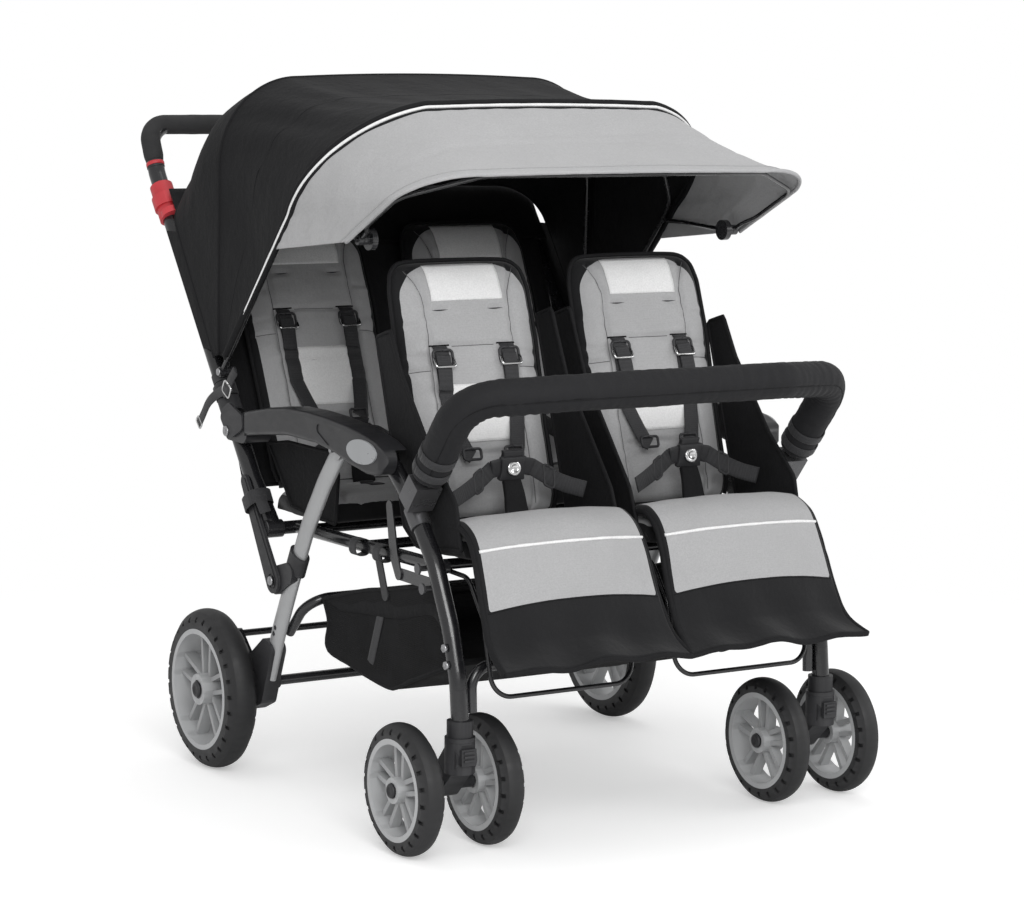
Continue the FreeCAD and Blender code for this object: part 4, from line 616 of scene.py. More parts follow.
def close_holes(obj):
    bm = bmesh.new()
    bm.from_mesh(obj.data)
    open_edges = [e for e in bm.edges if e.is_boundary]
    if open_edges:
        bmesh.ops.holes_fill(bm, edges=open_edges, sides=0)
    bmesh.ops.triangulate(bm, faces=[f for f in bm.faces if len(f.verts) > 4])
    bmesh.ops.recalc_face_normals(bm, faces=bm.faces)
    bm.to_mesh(obj.data)
    bm.free()


def puff(obj, cap, out):
    """Lets the cover swell as stuffed cloth does, outward and no further than the cap; its outline stays."""
    rest = co_array(obj)
    mod = obj.modifiers.new("cloth", "CLOTH")
    s = mod.settings
    s.use_pressure = True
    s.uniform_pressure_force = 4.0
    s.effector_weights.gravity = 0.0
    s.tension_stiffness = s.compression_stiffness = 18
    s.shear_stiffness = 8
    s.bending_stiffness = 0.8
    s.quality = 5
    mod.collision_settings.use_collision = False
    scene = bpy.context.scene
    for f in range(1, 21):
        scene.frame_set(f)
    deps = bpy.context.evaluated_depsgraph_get()
    me = bpy.data.meshes.new_from_object(obj.evaluated_get(deps), depsgraph=deps)
    obj.modifiers.clear()
    co = np.zeros(len(me.vertices) * 3)
    me.vertices.foreach_get("co", co)
    move = co.reshape(-1, 3) - rest
    move *= np.minimum(1, cap / np.maximum(np.linalg.norm(move, axis=1, keepdims=True), 1e-9))
    out = np.array(out)
    rise = move @ out
    move = np.outer(np.maximum(rise, -0.001), out) + (move - np.outer(rise, out)) * 0.12
    scene.frame_set(1)
    bpy.data.meshes.remove(me)
    set_co(obj, rest + move)


def stitch(d, width):
    return np.exp(-(d / width) ** 2)


def flare(v):
    """How far the long seams of a back pad spread toward its top corners."""
    return 0.20 * np.clip((v - 0.83) / 0.14, 0, 1) ** 1.6


SEAM_U = 0.60
CHANNEL, PUCKER, WRINKLE = 0.0045, 0.022, 0.0017


def sew(obj, cushion, lines, tufts, seed):
    """Presses sewn channels and small creases into a pad's face, after it has swelled."""
    co = co_array(obj)
    u, v, h = cushion.local(co)
    wide = np.abs(u)
    face = np.clip((h - 0.5) / 0.2, 0, 1)
    drop, near = np.zeros(len(co)), np.zeros(len(co))
    for kind, at_share, low, high, depth in lines:
        if kind == "h":
            d, run = (v - at_share) * cushion.length, wide
        else:
            d, run = (wide - at_share - (flare(v) if kind == "flared" else 0.0)) * cushion.half, v
        inside = (run > low) & (run < high)
        drop = np.maximum(drop, np.where(inside, stitch(d, CHANNEL) * depth, 0))
        near = np.maximum(near, np.where(inside, stitch(d, PUCKER), 0))
    for tu, tv, size, depth in tufts:
        du, dv = (wide - tu) * cushion.half, (v - tv) * cushion.length
        drop = np.maximum(drop, np.exp(-(du / size) ** 2 - (dv / 0.004) ** 2) * depth)
        near = np.maximum(near, np.exp(-(du / 0.03) ** 2 - (dv / 0.02) ** 2))
    crinkle = np.array([wave(p[0] * 28 + seed, p[1] * 70, p[2] * 70) for p in co])
    soft = np.array([wave(p[0] * 13, p[1] * 16, p[2] * 16 + seed) for p in co])
    shift = -drop + (crinkle * near * 1.6 + soft * 1.2) * WRINKLE
    co += np.outer(shift * face, np.array(cushion.out))
    set_co(obj, co)
    return u, v, h


def stuffed(name, cushion, cap, *sewing):
    """A pad that has swelled and then been sewn, with its own coordinates."""
    pad = cushion.mesh(name)
    close_holes(pad)
    puff(pad, cap, cushion.out)
    subdivide(pad)
    return pad, *sew(pad, cushion, *sewing)


def tree_of(obj):
    me = obj.data
    return BVHTree.FromPolygons([v.co.copy() for v in me.vertices], [tuple(p.vertices) for p in me.polygons])


def on_face(tree, cushion, x, v, lift, away=0.06):
    """The place on a pad's face that lies x across and the share v along it."""
    p = cushion.spot(v) + Vector((x, 0, 0)) + cushion.out * away
    hit = tree.ray_cast(p, -cushion.out)[0]
    return (hit if hit is not None else p - cushion.out * away) + cushion.out * lift


# kind, share across or along, where it starts and ends, depth
BACK_LINES = [("flared", SEAM_U, 0.02, 0.96, 0.0056), ("h", 0.655, 0.0, 0.6, 0.0045),
              ("h", 0.565, 0.62, 0.95, 0.0028), ("h", 0.47, 0.0, 0.6, 0.003), ("h", 0.24, 0.0, 0.6, 0.004),
              ("h", 0.62, 0.62, 0.95, 0.002), ("h", 0.74, 0.60, 0.95, 0.002)]
# share across, share along, size, depth
BACK_TUFTS = [(0.40, 0.795, 0.013, 0.0045), (0.47, 0.657, 0.016, 0.005)]
# half widths low and high in millimetres, and the shares along the pad between them
PATCHES = (("upper", 61.0, 62.0, 0.828, 0.974), ("lower", 48.0, 50.0, 0.285, 0.508))


def make_backs():
    backs = {}
    for row, line, body, replaced, seed in (
        ("front", FRONT_BACK, "front_backs", "front_seat_backs", 0.0),
        ("rear", REAR_BACK, "handle_frame", "rear_seat_backs", 7.0),
    ):
        c = Cushion(*line, 122.0, 38.0, PAD)
        right, u, v, h = stuffed(row + "_back_right", c, 0.006, BACK_LINES, BACK_TUFTS, seed)
        wide = np.abs(u)
        corner = np.hypot(np.clip(wide - 0.45, 0, 1) * c.half, np.clip(v - 0.84, 0, 1) * c.length) * 1000 - 55
        set_split(right, np.maximum.reduce([
            (wide - 0.90) * c.half * 1000, (v - 0.978) * c.length * 1000, (0.62 - h) * 25.0, corner,
        ]))
        tree = tree_of(right)
        padded_pair(right, row + "_back_left", body, replaced)
        # corded edge round each pad
        shares = [0.02 + 0.96 * k / 40 for k in range(41)] + [0.988, 0.996]
        outline = [(s, column(PAD, 1, s)) for s in shares] + [(1.0, 0.45), (1.001, 0.2), (1.001, -0.2), (1.0, -0.45)]
        outline += [(s, -column(PAD, 1, s)) for s in reversed(shares)]
        ring = [c.spot(s) + Vector((c.half * w, 0, 0)) - c.out * (c.depth * (1 - 0.55 * column(PAD, 2, s)))
                for s, w in outline]
        for side, suffix in SIDES:
            place(tube(f"{row}_back_piping_{suffix}", curve(mirrored(ring, side), 3, 150), 0.0034, "black_cloth"), body)
        for side, suffix in SIDES:
            for label, low, high, v0, v1 in PATCHES:
                G = grid(22, 16, lambda i, s: on_face(
                    tree, c, (i * 2 - 1) * (low + s * (high - low)) / 1000, v0 + s * (v1 - v0), 0.0007, 0.05))
                piece = sheet_piece(f"{row}_patch_{label}_{suffix}", G, "patch", 0.0006)
                if side < 0:
                    mirror(piece)
                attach(piece, body)
        make_pad_seams(row, c, tree, body)
        backs[row] = (c, tree)
    return backs


def make_pad_seams(row, cushion, tree, body):
    """Threads in the sewn channels and dark slits for the straps' other heights."""
    def slit(s):
        return 0.0011 * math.sin(math.pi * min(max(s, 0.06), 0.94))

    seams = [[(side * cushion.half * (SEAM_U + float(flare(v))), v) for v in np.linspace(0.04, 0.955, 70)]
             for side in (-1, 1)]
    for v, low, high, count in ((0.655, -0.036, 0.036, 14), (0.565, 0.077, 0.108, 8), (0.565, -0.108, -0.077, 8)):
        seams.append([(x, v) for x in np.linspace(low, high, count)])
    slits = [[(x + d, 0.795) for d in np.linspace(-0.013, 0.013, 12)] for x in (-0.048, 0.048)]
    for kind, lines, radius, look, slot in (
        ("seam", seams, 0.00055, "thread", "grey_cloth"), ("slit", slits, slit, "webbing", "black_cloth"),
    ):
        for k, line in enumerate(lines):
            pts = [on_face(tree, cushion, x, v, 0.0002) for x, v in line]
            for side, suffix in SIDES:
                place(tube(f"{row}_{kind}_{k}_{suffix}", mirrored(pts, side), radius, look, sides=6), body)


PAN_LINES = [("v", 0.66, 0.05, 1.0, 0.006), ("h", 0.55, 0.0, 0.66, 0.003)]
PAN_TUFTS = [(0.22, 0.55, 0.02, 0.004)]


def make_pans():
    trees = {}
    for row, foot, head, replaced in (
        ("front", (-224.0, 462.0), (-89.6, 455.0), "front_seat_pans"),
        ("rear", (205.0, 458.0), (380.4, 455.0), "rear_seat_pans"),
    ):
        c = Cushion(foot, head, 140.0, 46.3, PAN)
        right, u, v, h = stuffed(row + "_pan_right", c, 0.005, PAN_LINES, PAN_TUFTS, 3.0)
        # painted shadow: a black round on the front seats' pans under the crotch straps and buckle, where their shade
        # falls
        painted_shadow = 20 * (1.0 - np.hypot((u - 0.02) * 140 / 46, (v - 0.72) * c.length * 1000 / 26))
        painted_shadow = painted_shadow if row == "front" else np.full(len(u), -1.0)
        set_split(right, np.maximum.reduce([(0.66 - h) * 30, (np.abs(u) - 0.95) * 140, painted_shadow]))
        trees[row] = tree_of(right)
        padded_pair(right, row + "_pan_left", "seat_frame", replaced)
    return trees


FLAP_LINE = [(-192.0, 463.5), (-210.0, 465.5), (-229.0, 464.0)] + chord(
    (-228.6, 462.0), (-378.0, 282.0), [(0.107, -0.051), (0.26, -0.033), (0.587, 0.061), (0.789, 0.084), (1.0, 0.0)])
PIPING_AT, SEAM_AT = 0.30, 0.583


def make_flaps():
    """The padded legs' cloth in front of each front seat: grey over black, with white piping."""
    line = curve([P(0, *p) for p in FLAP_LINE], 10, 75)
    n, m = len(line), 61
    top, low, split = np.zeros((n, m, 3)), np.zeros((n, m, 3)), np.zeros((n, m))
    for i, p in enumerate(line):
        t = tangent(line, i)
        out = Vector((0, t.z, -t.y))
        if out.z + -out.y < 0:
            out = -out
        s = i / (n - 1)
        half = 0.1375 + 0.017 * s + 0.0045 * max(0, s - 0.85) / 0.15
        thick = 0.017 - 0.011 * s
        crown = 0.011 * math.sin(min(1, s * 1.25) * math.pi) ** 0.8 + 0.004
        for j in range(m):
            u = j / (m - 1) * 2 - 1
            x = u * half
            belly = crown * (1 - abs(u) ** 2.4)
            # the black end is loose cloth with a few broad folds that fan from the middle
            loose = max(0.0, (s - 0.56) / 0.44)
            fan = math.sin(9 * u - 5.5 * s + 1.1) * 0.0042 * loose * (1 - u * u * 0.5)
            fan += math.sin(4.2 * u + 9 * s) * 0.003 * loose
            q = p + Vector((SEAT + x, 0, 0))
            crease = wave(x * 20, s * 6, 0.7) * 0.0016 * (0.3 + 0.7 * min(1, abs(s - 0.55) * 6))
            pucker = wave(x * 75, s * 9, 4.0) * 0.0013 * math.exp(-((s - 0.57) / 0.05) ** 2)
            top[i, j] = q + out * (thick / 2 + belly + fan + crease + pucker)
            low[i, j] = q - out * (thick / 2) + out * (fan + belly * 0.45)
            split[i, j] = max((s - 0.585 - 0.03 * u * u) * 250, (abs(u) - 0.955) * 150)
    k = n * m
    faces = grid_faces(n, m) + [tuple(v + k for v in reversed(f)) for f in grid_faces(n, m)]
    rim = list(range(m)) + [i * m + m - 1 for i in range(1, n)]
    rim += [(n - 1) * m + j for j in range(m - 2, -1, -1)] + [i * m for i in range(n - 2, 0, -1)]
    faces += [(b, a, a + k, b + k) for a, b in zip(rim, rim[1:] + rim[:1])]
    right = link_mesh("calf_flap_right", [*top.reshape(-1, 3), *low.reshape(-1, 3)], faces, "pad_cloth")
    set_split(right, np.concatenate([split.ravel(), np.full(k, 30.0)]))
    subdivide(right)
    padded_pair(right, "calf_flap_left", "seat_frame", "calf_flaps")

    # piping, hem and bound sides follow the cloth's own surface
    def on_top(row, j, lift):
        i = int(min(max(row, 1), n - 2))
        a = Vector(top[i + 1, j] - top[i - 1, j])
        b = Vector(top[i, min(j + 1, m - 1)] - top[i, max(j - 1, 0)])
        out = a.cross(b).normalized()
        if out.z - out.y < 0:
            out = -out
        return Vector(top[i, j]).lerp(Vector(top[i + 1, j]), row - i) + out * lift

    middle = [[Vector(a) * 0.5 + Vector(b) * 0.5 for a, b in zip(*rows)] for rows in zip(top, low)]
    inner = range(1, m - 1)
    for name, pts, r, look in (
        ("flap_piping", [on_top(PIPING_AT * n, j, 0.0006) for j in inner], 0.0023, "piping"),
        ("flap_seam", [on_top((SEAM_AT + 0.03 * (j / (m - 1) * 2 - 1) ** 2) * n, j, 0.0001) for j in inner],
         0.0009, "black_cloth"),
        ("flap_hem", middle[-1], 0.0042, "black_cloth"),
        ("flap_edge_outer", [row[-1] for row in middle], 0.0048, "black_cloth"),
        ("flap_edge_inner", [row[0] for row in middle], 0.0048, "black_cloth"),
    ):
        for side, suffix in SIDES:
            line = curve(mirrored(pts, side), 2, 110)
            place(tube(f"{name}_{suffix}", line, r, look, wobble=lumpy(60, 0.0005)), "seat_frame")


# Canopy: hoops of cloth round the hinge, each in its own tilted plane

INSIDE = P(0, 200, 700)
HOOP_CROWN = 5.0


def polar(angle, reach):
    a = math.radians(angle)
    return reach * math.cos(a), reach * math.sin(a)


def arc3(a, b, c, n):
    """Points on the circle through three places in a plane."""
    ax, ay, bx, by, cx, cy = *a, *b, *c
    aa, bb, cc = ax * ax + ay * ay, bx * bx + by * by, cx * cx + cy * cy
    d = 2 * (ax * (by - cy) + bx * (cy - ay) + cx * (ay - by))
    ux = (aa * (by - cy) + bb * (cy - ay) + cc * (ay - by)) / d
    uy = (aa * (cx - bx) + bb * (ax - cx) + cc * (bx - ax)) / d
    r = math.hypot(ax - ux, ay - uy)
    t0, t1 = math.atan2(ay - uy, ax - ux), math.atan2(cy - uy, cx - ux)
    while t1 < t0:
        t1 += 2 * math.pi
    if t1 - t0 > math.pi:
        t1 -= 2 * math.pi
    turns = [t0 + (t1 - t0) * k / n for k in range(n)]
    return [(ux + r * math.cos(t), uy + r * math.sin(t)) for t in turns]


def hoop(pivot, angle, start, leg, top, top_half, half=CANOPY_HALF):
    """From one foot up its leg, round the corner, over the crowned top and down the other side."""
    share = math.cos(math.radians(45))
    corner = (top_half + (half - top_half) * share, leg + (top - leg) * share)
    crest = (0, top + HOOP_CROWN)
    right = [(half, start + (leg - start) * k / 14) for k in range(14)]
    right += arc3((half, leg), corner, (top_half, top), 20)
    right += arc3((top_half, top), crest, (-top_half, top), 32)[:16] + [crest]
    full = right + [(-x, r) for x, r in reversed(right[:-1])]
    places = []
    for x, reach in full:
        dy, dz = polar(angle, reach)
        places.append(tuple(P(x, pivot[0] + dy, pivot[1] + dz)))
    return np.array(places)


def chord_reach(angle):
    """How far the straight line between the two bows' crests lies from the hinge."""
    a, b = polar(FRONT_ANGLE, FRONT_REACH), polar(REAR_ANGLE, REAR_REACH)
    dy, dz = polar(angle, 1)
    return ((b[0] - a[0]) * a[1] - (b[1] - a[1]) * a[0]) / ((b[0] - a[0]) * dz - (b[1] - a[1]) * dy)


def outward(G):
    nrm = np.cross(np.gradient(G, axis=0), np.gradient(G, axis=1))
    nrm /= np.maximum(np.linalg.norm(nrm, axis=2, keepdims=True), 1e-9)
    flip = np.sign(((G - np.array(INSIDE)) * nrm).sum(2, keepdims=True))
    return nrm * np.where(flip == 0, 1, flip)


def shares(G):
    n, m = G.shape[:2]
    return np.linspace(0, 1, n)[:, None], np.linspace(0, 1, m)[None, :]


def fold_noise(G, scale, seed):
    shift = Vector((seed, seed * 1.7, -seed))
    return np.array([[noise.noise(Vector(p) * scale + shift) for p in row] for row in G])


def crest_of(angle, reach):
    return P(0, HINGE[0] + polar(angle, reach)[0], 1050)


# where a slack fold starts, its width, its depth, how far it leans; deeper low on the sides
HOOD_FOLDS = ((0.10, 0.022, 6.0, 0.02), (0.17, 0.026, 7.5, -0.03), (0.235, 0.02, 6.0, -0.05),
              (0.30, 0.02, 3.5, -0.05), (0.37, 0.02, 2.4, -0.03), (0.44, 0.02, 1.6, 0.0))
# the rolled front edge: a black roll, white piping and a black band outside the bow
HOOD_EDGE = (("hood_edge_roll", 132.95, 0.6, 0.0050, "black_cloth"),
             ("hood_edge_piping", 133.75, 2.0, 0.0026, "piping"),
             ("hood_edge_band", 134.35, -0.6, 0.0040, "black_cloth"))
# back panel: share of the way down, then shares of leg and reach, and of the top's half width
BACK_PANEL = np.array([(0.0, 1.0, 1.0, 1.0), (0.26, 1.0, 0.945, 1.03), (0.48, 0.87, 0.89, 1.06),
                       (0.68, 0.72, 0.84, 1.1), (0.93, 0.8, 0.73, 1.3)])


def make_canopy():
    rows = []
    for t in (k / 30 for k in range(31)):
        angle = FRONT_ANGLE + t * (REAR_ANGLE + 0.04 - FRONT_ANGLE)
        rows.append(hoop(HINGE, angle, BOW_FOOT, FRONT_LEG + t * (REAR_LEG - FRONT_LEG),
                         chord_reach(angle) - 9 * math.sin(math.pi * t) - 0.6, FRONT_TOP + t * (REAR_TOP - FRONT_TOP)))
    G = np.array(rows)
    q, s = shares(G)
    tied = np.sin(np.pi * q) ** 0.7
    folds = np.zeros(G.shape[:2])
    for centre, width, depth, lean in HOOD_FOLDS:
        for at_s in (s, 1 - s):
            folds -= depth * np.exp(-((at_s - centre - lean * (q - 0.5)) / width) ** 2)
    rough = fold_noise(G, 9.0, 2.0) * 2.6 + fold_noise(G, 26.0, 5.0) * 0.9
    slack = np.minimum(rough, 1.6) * tied * (0.35 + 0.65 * np.abs(s - 0.5) * 2)
    shift = (folds * 1.15 * tied - 2.6 * tied + slack) / 1000
    G = G + outward(G) * np.minimum(shift, 0.0015)[:, :, None]
    hood = sheet_piece("canopy_hood_cloth", G, "black_cloth", CLOTH_THICK,
                       fine=True)
    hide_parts("canopy_hood")
    ends = ("canopy_base", "canopy_front", crest_of(REAR_ANGLE, REAR_REACH), crest_of(FRONT_ANGLE, FRONT_REACH))
    blends.append((hood, *ends))
    for name, angle, grow, radius, look in HOOD_EDGE:
        edge = hoop(HINGE, angle, 40, FRONT_LEG, FRONT_REACH + grow, FRONT_TOP + grow * 0.5, CANOPY_HALF + grow)
        place(tube(name, curve(edge, 3, 260), radius, look, sides=10, wobble=lumpy(40, 0.0003)), "canopy_front")
    place(tube("hood_rear_seam", curve(G[-1], 3, 240), 0.0026, "black_cloth"), "canopy_base")
    seam = tube("hood_middle_seam", curve(G[len(G) // 2], 3, 220), 0.0011, "black_cloth", sides=6)
    blends.append((seam, *ends))

    lean = math.degrees(math.atan2(HANDLE_RUN[1], HANDLE_RUN[0]))
    rows = []
    for t in (0.93 * k / 24 for k in range(25)):
        leg, top, wide = (np.interp(t, BACK_PANEL[:, 0], BACK_PANEL[:, i]) for i in (1, 2, 3))
        rows.append(hoop(HINGE, REAR_ANGLE - 0.04 + t * (lean - REAR_ANGLE), BOW_FOOT, REAR_LEG * leg,
                         REAR_REACH * top - 0.6, REAR_TOP * wide))
    B = np.array(rows)
    rough = fold_noise(B, 10.0, 11.0) * 3.0 + fold_noise(B, 30.0, 13.0)
    B = B + outward(B) * (np.minimum(rough, 1.2) * np.sin(np.pi * shares(B)[0]) ** 0.6 / 1000)[:, :, None]
    back = sheet_piece("canopy_back_cloth", B, "black_cloth", CLOTH_THICK,
                       fine=True)
    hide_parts("canopy_back_panel")
    middle = B.shape[1] // 2
    blends.append((back, "canopy_base", "handle_frame", Vector(B[0, middle]), Vector(B[-1, middle])))
    place(tube("canopy_back_hem", spaced(B[-1], 200), 0.0024, "black_cloth"), "handle_frame")
    make_visor()


def plain(obj):
    set_split(obj, np.full(len(obj.data.vertices), -1.0))


def make_visor():
    back = hoop(HINGE, FRONT_ANGLE + 0.24, 285, FRONT_LEG, FRONT_REACH, FRONT_TOP)
    hem = hoop(VISOR_HINGE, 154, -8, 150, 227, 245)
    G = np.array([back + (hem - back) * (k / 34) for k in range(35)])
    out = outward(G)
    q, s = shares(G)
    rough = fold_noise(G * np.array([1, 1, 1.6]), 8.0, 21.0) * 4.0 + fold_noise(G, 24.0, 23.0) * 1.2
    tied = np.sin(np.pi * q) ** 0.6
    gather = np.sin(s * 150 + 2 * np.sin(s * 31)) * np.exp(-(q / 0.07) ** 2) * 0.9
    droop = -7.0 * np.sin(np.pi * q) * (1 - (np.abs(s - 0.5) * 2) ** 2)
    long_fold = -2.8 * np.exp(-((q - 0.55 - 0.08 * np.sin(s * 9)) / 0.035) ** 2) * np.sin(np.pi * s)
    long_fold += -2.0 * np.exp(-((q - 0.32 + 0.05 * np.sin(s * 7 + 1)) / 0.03) ** 2) * np.sin(np.pi * s)
    shift = (rough * tied + gather * (q > 0.01) + droop + long_fold * tied) / 1000
    G = G + out * np.minimum(shift, 0.001)[:, :, None]
    piece = sheet_piece("canopy_visor_cloth", G, "visor_cloth", CLOTH_THICK,
                        fine=True)
    plain(piece)
    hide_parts("canopy_visor")
    blends.append((piece, "canopy_front", "visor", Vector(back[len(back) // 2]), Vector(hem[len(hem) // 2])))
    rolled = tube("visor_hem", spaced(G[-1], 240), 0.0032, "visor_cloth", wobble=lumpy(50, 0.0004))
    plain(rolled)
    place(rolled, "visor")
    line = spaced([Vector(p) + Vector(v) * 0.001 for p, v in zip(G[-4], out[-4])], 240)
    place(tube("visor_hem_stitch", line, 0.0009, "grey_cloth", sides=6), "visor")


# Grab bar, handle and basket

GRAB = [P(325.5, -151, 502), P(325.5, -277.93, 654.97), P(182.3, -336, 664)]
SLEEVE_START, SLEEVE_RADIUS, SEAM_TURN, BEND_AT = 0.22, 0.0266, 4.4, 0.215


def make_grab_sleeve():
    line = bent(GRAB + list(reversed(mirrored(GRAB, -1))), 0.066, 12)
    length = np.r_[0, np.cumsum([(b - a).length for a, b in zip(line, line[1:])])]
    start = SLEEVE_START * (GRAB[1] - GRAB[0]).length
    keep = [p for p, s in zip(line, length) if start < s < length[-1] - start]
    first = GRAB[0] + (GRAB[1] - GRAB[0]) * SLEEVE_START
    pts = spaced([first] + keep + mirrored([first], -1), 330)
    total = (length[-1] - 2 * start)

    def radius(s):
        end = min(s, 1 - s) * total
        soft = math.sqrt(max(0.0, 1 - (1 - min(1, end / 0.012)) ** 2))
        return SLEEVE_RADIUS * (0.62 + 0.38 * soft)

    def wrinkles(s, a, p):
        run = s * total
        near = math.exp(-(min(abs(run - BEND_AT), abs(total - run - BEND_AT)) / 0.075) ** 2)
        inner = 0.5 + 0.5 * math.cos(a - 2.4)
        ring = math.sin(run * 430 + 3 * math.sin(a + run * 25)) * 0.0011 * near * inner
        soft = noise.noise(p * 24) * 0.0011 + wave(run * 90, a, 3.0) * 0.0007
        seam = -0.0016 * math.exp(-((a - SEAM_TURN) / 0.06) ** 2)
        return min(ring + soft + seam, 0.0012)

    sleeve = tube("grab_bar_sleeve", pts, radius, "pad_sleeve", sides=36, wobble=wrinkles)
    place(sleeve, "front_frame")
    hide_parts("grab_bar_pad")
    # seam cord and the end cuffs
    tangents, across = frames(pts)
    cord = [p + (a * math.cos(SEAM_TURN) + t.cross(a) * math.sin(SEAM_TURN)) * 0.0256
            for p, t, a in zip(pts, tangents, across)][4:-4]
    place(tube("grab_sleeve_seam", cord, 0.0010, "black_cloth", sides=6), "front_frame")
    d, r = (GRAB[1] - GRAB[0]).normalized(), 0.0276
    for side, suffix in SIDES:
        for k, back in enumerate((0.020, 0.046)):
            c = first + d * back
            ring = [Vector((side * (c.x + r * math.cos(t)), c.y + r * math.sin(t) * d.z, c.z - r * math.sin(t) * d.y))
                    for t in np.linspace(0, 2 * math.pi, 40)]
            place(band(f"grab_cuff_{k}_{suffix}", ring, (0.0, d.y, d.z), 0.014, 0.0016, "webbing"), "front_frame")


def make_grip():
    a, b = P(TUBE_X, *HANDLE[2]), P(TUBE_X, *HANDLE[3])
    half = [b + (a - b).normalized() * 0.066, b]
    pts = spaced(bent(half + list(reversed(mirrored(half, -1))), 0.048, 12), 300)
    grip = tube("push_handle_foam", pts, lambda s: 0.0163 * (0.9 + 0.1 * min(1, min(s, 1 - s) / 0.012)), "foam",
                sides=24, wobble=lumpy(45, 0.0004))
    place(grip, "handle_frame")
    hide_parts("handle_grip")


BASKET = [(0, 0), (0.05, 0.084), (0.047, 0.184), (0.229, 0.202), (0.348, 0.212), (0.499, 0.215), (0.56, 0.202),
          (0.697, 0.135), (1, 0), (0.917, -0.108), (0.842, -0.221), (0.729, -0.213), (0.523, -0.155), (0.302, -0.1)]
BASKET_HALF, BASKET_FLOOR, BASKET_UPS = 0.3008, 0.197, 18


def folds_down(obj, body="rear_frame"):
    """Marks a piece that folds together with the frame."""
    folding.append((obj, body))


def make_basket():
    outline = [Vector((0, y - MIDDLE, z)) / 1000 for y, z in chord((190.5, 300.0), (-232.0, 270.0), BASKET)]
    n, m = 46, 60
    low = curve(outline[:9], 8, n)
    back = curve(list(reversed(outline[8:] + outline[:1])), 8, n)

    def side_line(x, share):
        return [Vector((x, *(b + (t - b) * share).yz)) for b, t in zip(low, back)]

    # one cloth trough: up one side, across the floor, up the other side
    half, ups = BASKET_HALF, BASKET_UPS
    G = np.zeros((n, m, 3))
    for i in range(n):
        s = i / (n - 1)
        for j in range(m):
            if j < ups:
                q, x = 1 - j / ups, -half
            elif j >= m - ups:
                q, x = (j - (m - ups) + 1) / ups, half
            else:
                q, x = 0, -half + 2 * half * (j - ups) / (m - 2 * ups - 1)
            p = low[i] + (back[i] - low[i]) * q
            uneven = wave(x * 12, p.y * 14, p.z * 14) * 0.0035
            if q == 0:
                sag = -0.010 * math.sin(math.pi * s) * (1 - (x / half) ** 4)
                G[i, j] = (x, p.y, max(p.z + sag * 0.4 + min(uneven, 0) + 0.003, BASKET_FLOOR))
            else:
                belly = 0.0035 * math.sin(math.pi * q)
                G[i, j] = (x - math.copysign(1, x) * (abs(belly) * 0.6 + max(uneven, 0)), p.y, p.z + 0.0004)
    trough = sheet_piece("basket_cloth", G, "net", 0.0012)
    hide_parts("basket")
    folding.append((trough, "rear_frame"))
    # solid bands at the top and the bottom of each side, and the bound edges
    for side, suffix in SIDES:
        keel = [Vector((side * 0.2990, p.y, p.z + 0.004)) for p in low]
        for name, line in (("rim", side_line(side * 0.2996, 1)), ("keel", keel)):
            folds_down(tube(f"basket_{name}_{suffix}", spaced(line, 120), 0.0032, "black_cloth",
                            wobble=lumpy(60, 0.0003)))
        B = np.array([side_line(side * 0.2998, 1 - 0.30 * j / 4) for j in range(5)]).transpose(1, 0, 2)
        top_band = sheet_piece("basket_top_band_" + suffix, B, "black_cloth", 0.0009)
        folding.append((top_band, "rear_frame"))
        mid = int(n * 0.42)
        pts = [side_line(side * 0.2992, q)[mid] for q in np.linspace(0.02, 0.98, 14)]
        folds_down(band("basket_webbing_" + suffix, pts, (0, 1, 0), 0.020, 0.0014, "webbing"))
    for name, row in (("front", low[-2]), ("rear", low[1])):
        pts = [Vector((x, row.y, row.z + 0.004)) for x in np.linspace(-0.298, 0.298, 40)]
        folds_down(tube("basket_bar_" + name, pts, 0.0050, "black_cloth", wobble=lumpy(50, 0.0005)))


# Side panels and the cloths behind the rear seats

WINGS = {
    "rear": (((283.0, 401.0), (404.0, 542.8)), 299.5,
             [(0.16, 0.07), (0.8, 0.07), (0.62, 0.36), (0.104, 0.95), (-0.1, 0.93), (-0.38, 0.62)]),
    "front": (FRONT_BACK, 299.5, [(-0.15, 0.31), (0.02, 0.32), (0.218, 0.2), (0.55, 0.06), (0.72, 0.02),
                                  (0.72, -0.09), (0, -0.078), (-0.09, 0)]),
    "middle": (FRONT_BACK, 16.5, [(-0.17, 0.27), (0.04, 0.25), (0.5, 0.06), (0.78, 0.02), (0.78, -0.09), (0, -0.078),
                                  (-0.09, 0)]),
}


def make_wings():
    first = None
    rings = 16
    for name, (ends, x, shape) in WINGS.items():
        loop = [Vector((0, y, z)) for y, z in chord(*ends, shape)]
        centre = sum(loop, Vector()) / len(loop)
        line = spaced(loop + [loop[0]], 97)[:-1]
        m = len(line)
        for side, suffix in SIDES:
            verts = []
            for q in (k / rings for k in range(rings + 1)):
                for p in line:
                    w = centre + (p - centre) * q
                    ripple = wave(w.y * 0.016, w.z * 0.016, 3.0 * side) * 1.3
                    verts.append(P(side * (x - 0.8 * (1 - q ** 3) + min(ripple, 0.3)), w.y, w.z))
            hub = len(verts)
            verts.append(P(side * (x - 0.8), centre.y, centre.z))
            faces = grid_faces(rings + 1, m, wrap=True)[m:] + [(hub, m + k, m + (k + 1) % m) for k in range(m)]
            panel = link_mesh(f"side_panel_{name}_{suffix}", verts, faces, "black_cloth")
            thicken(panel, 0.0013)
            w, h = (max(v) - min(v) for v in ([p.y for p in loop], [p.z for p in loop]))
            folds_down(panel, "seat_frame")
            edge = [P(side * (x - 0.2), p.y, p.z) for p in line + line[:1]]
            folds_down(tube(f"side_binding_{name}_{suffix}", edge, 0.0030, "black_cloth", sides=7), "seat_frame")
            first = first or panel
    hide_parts("seat_side_panels")


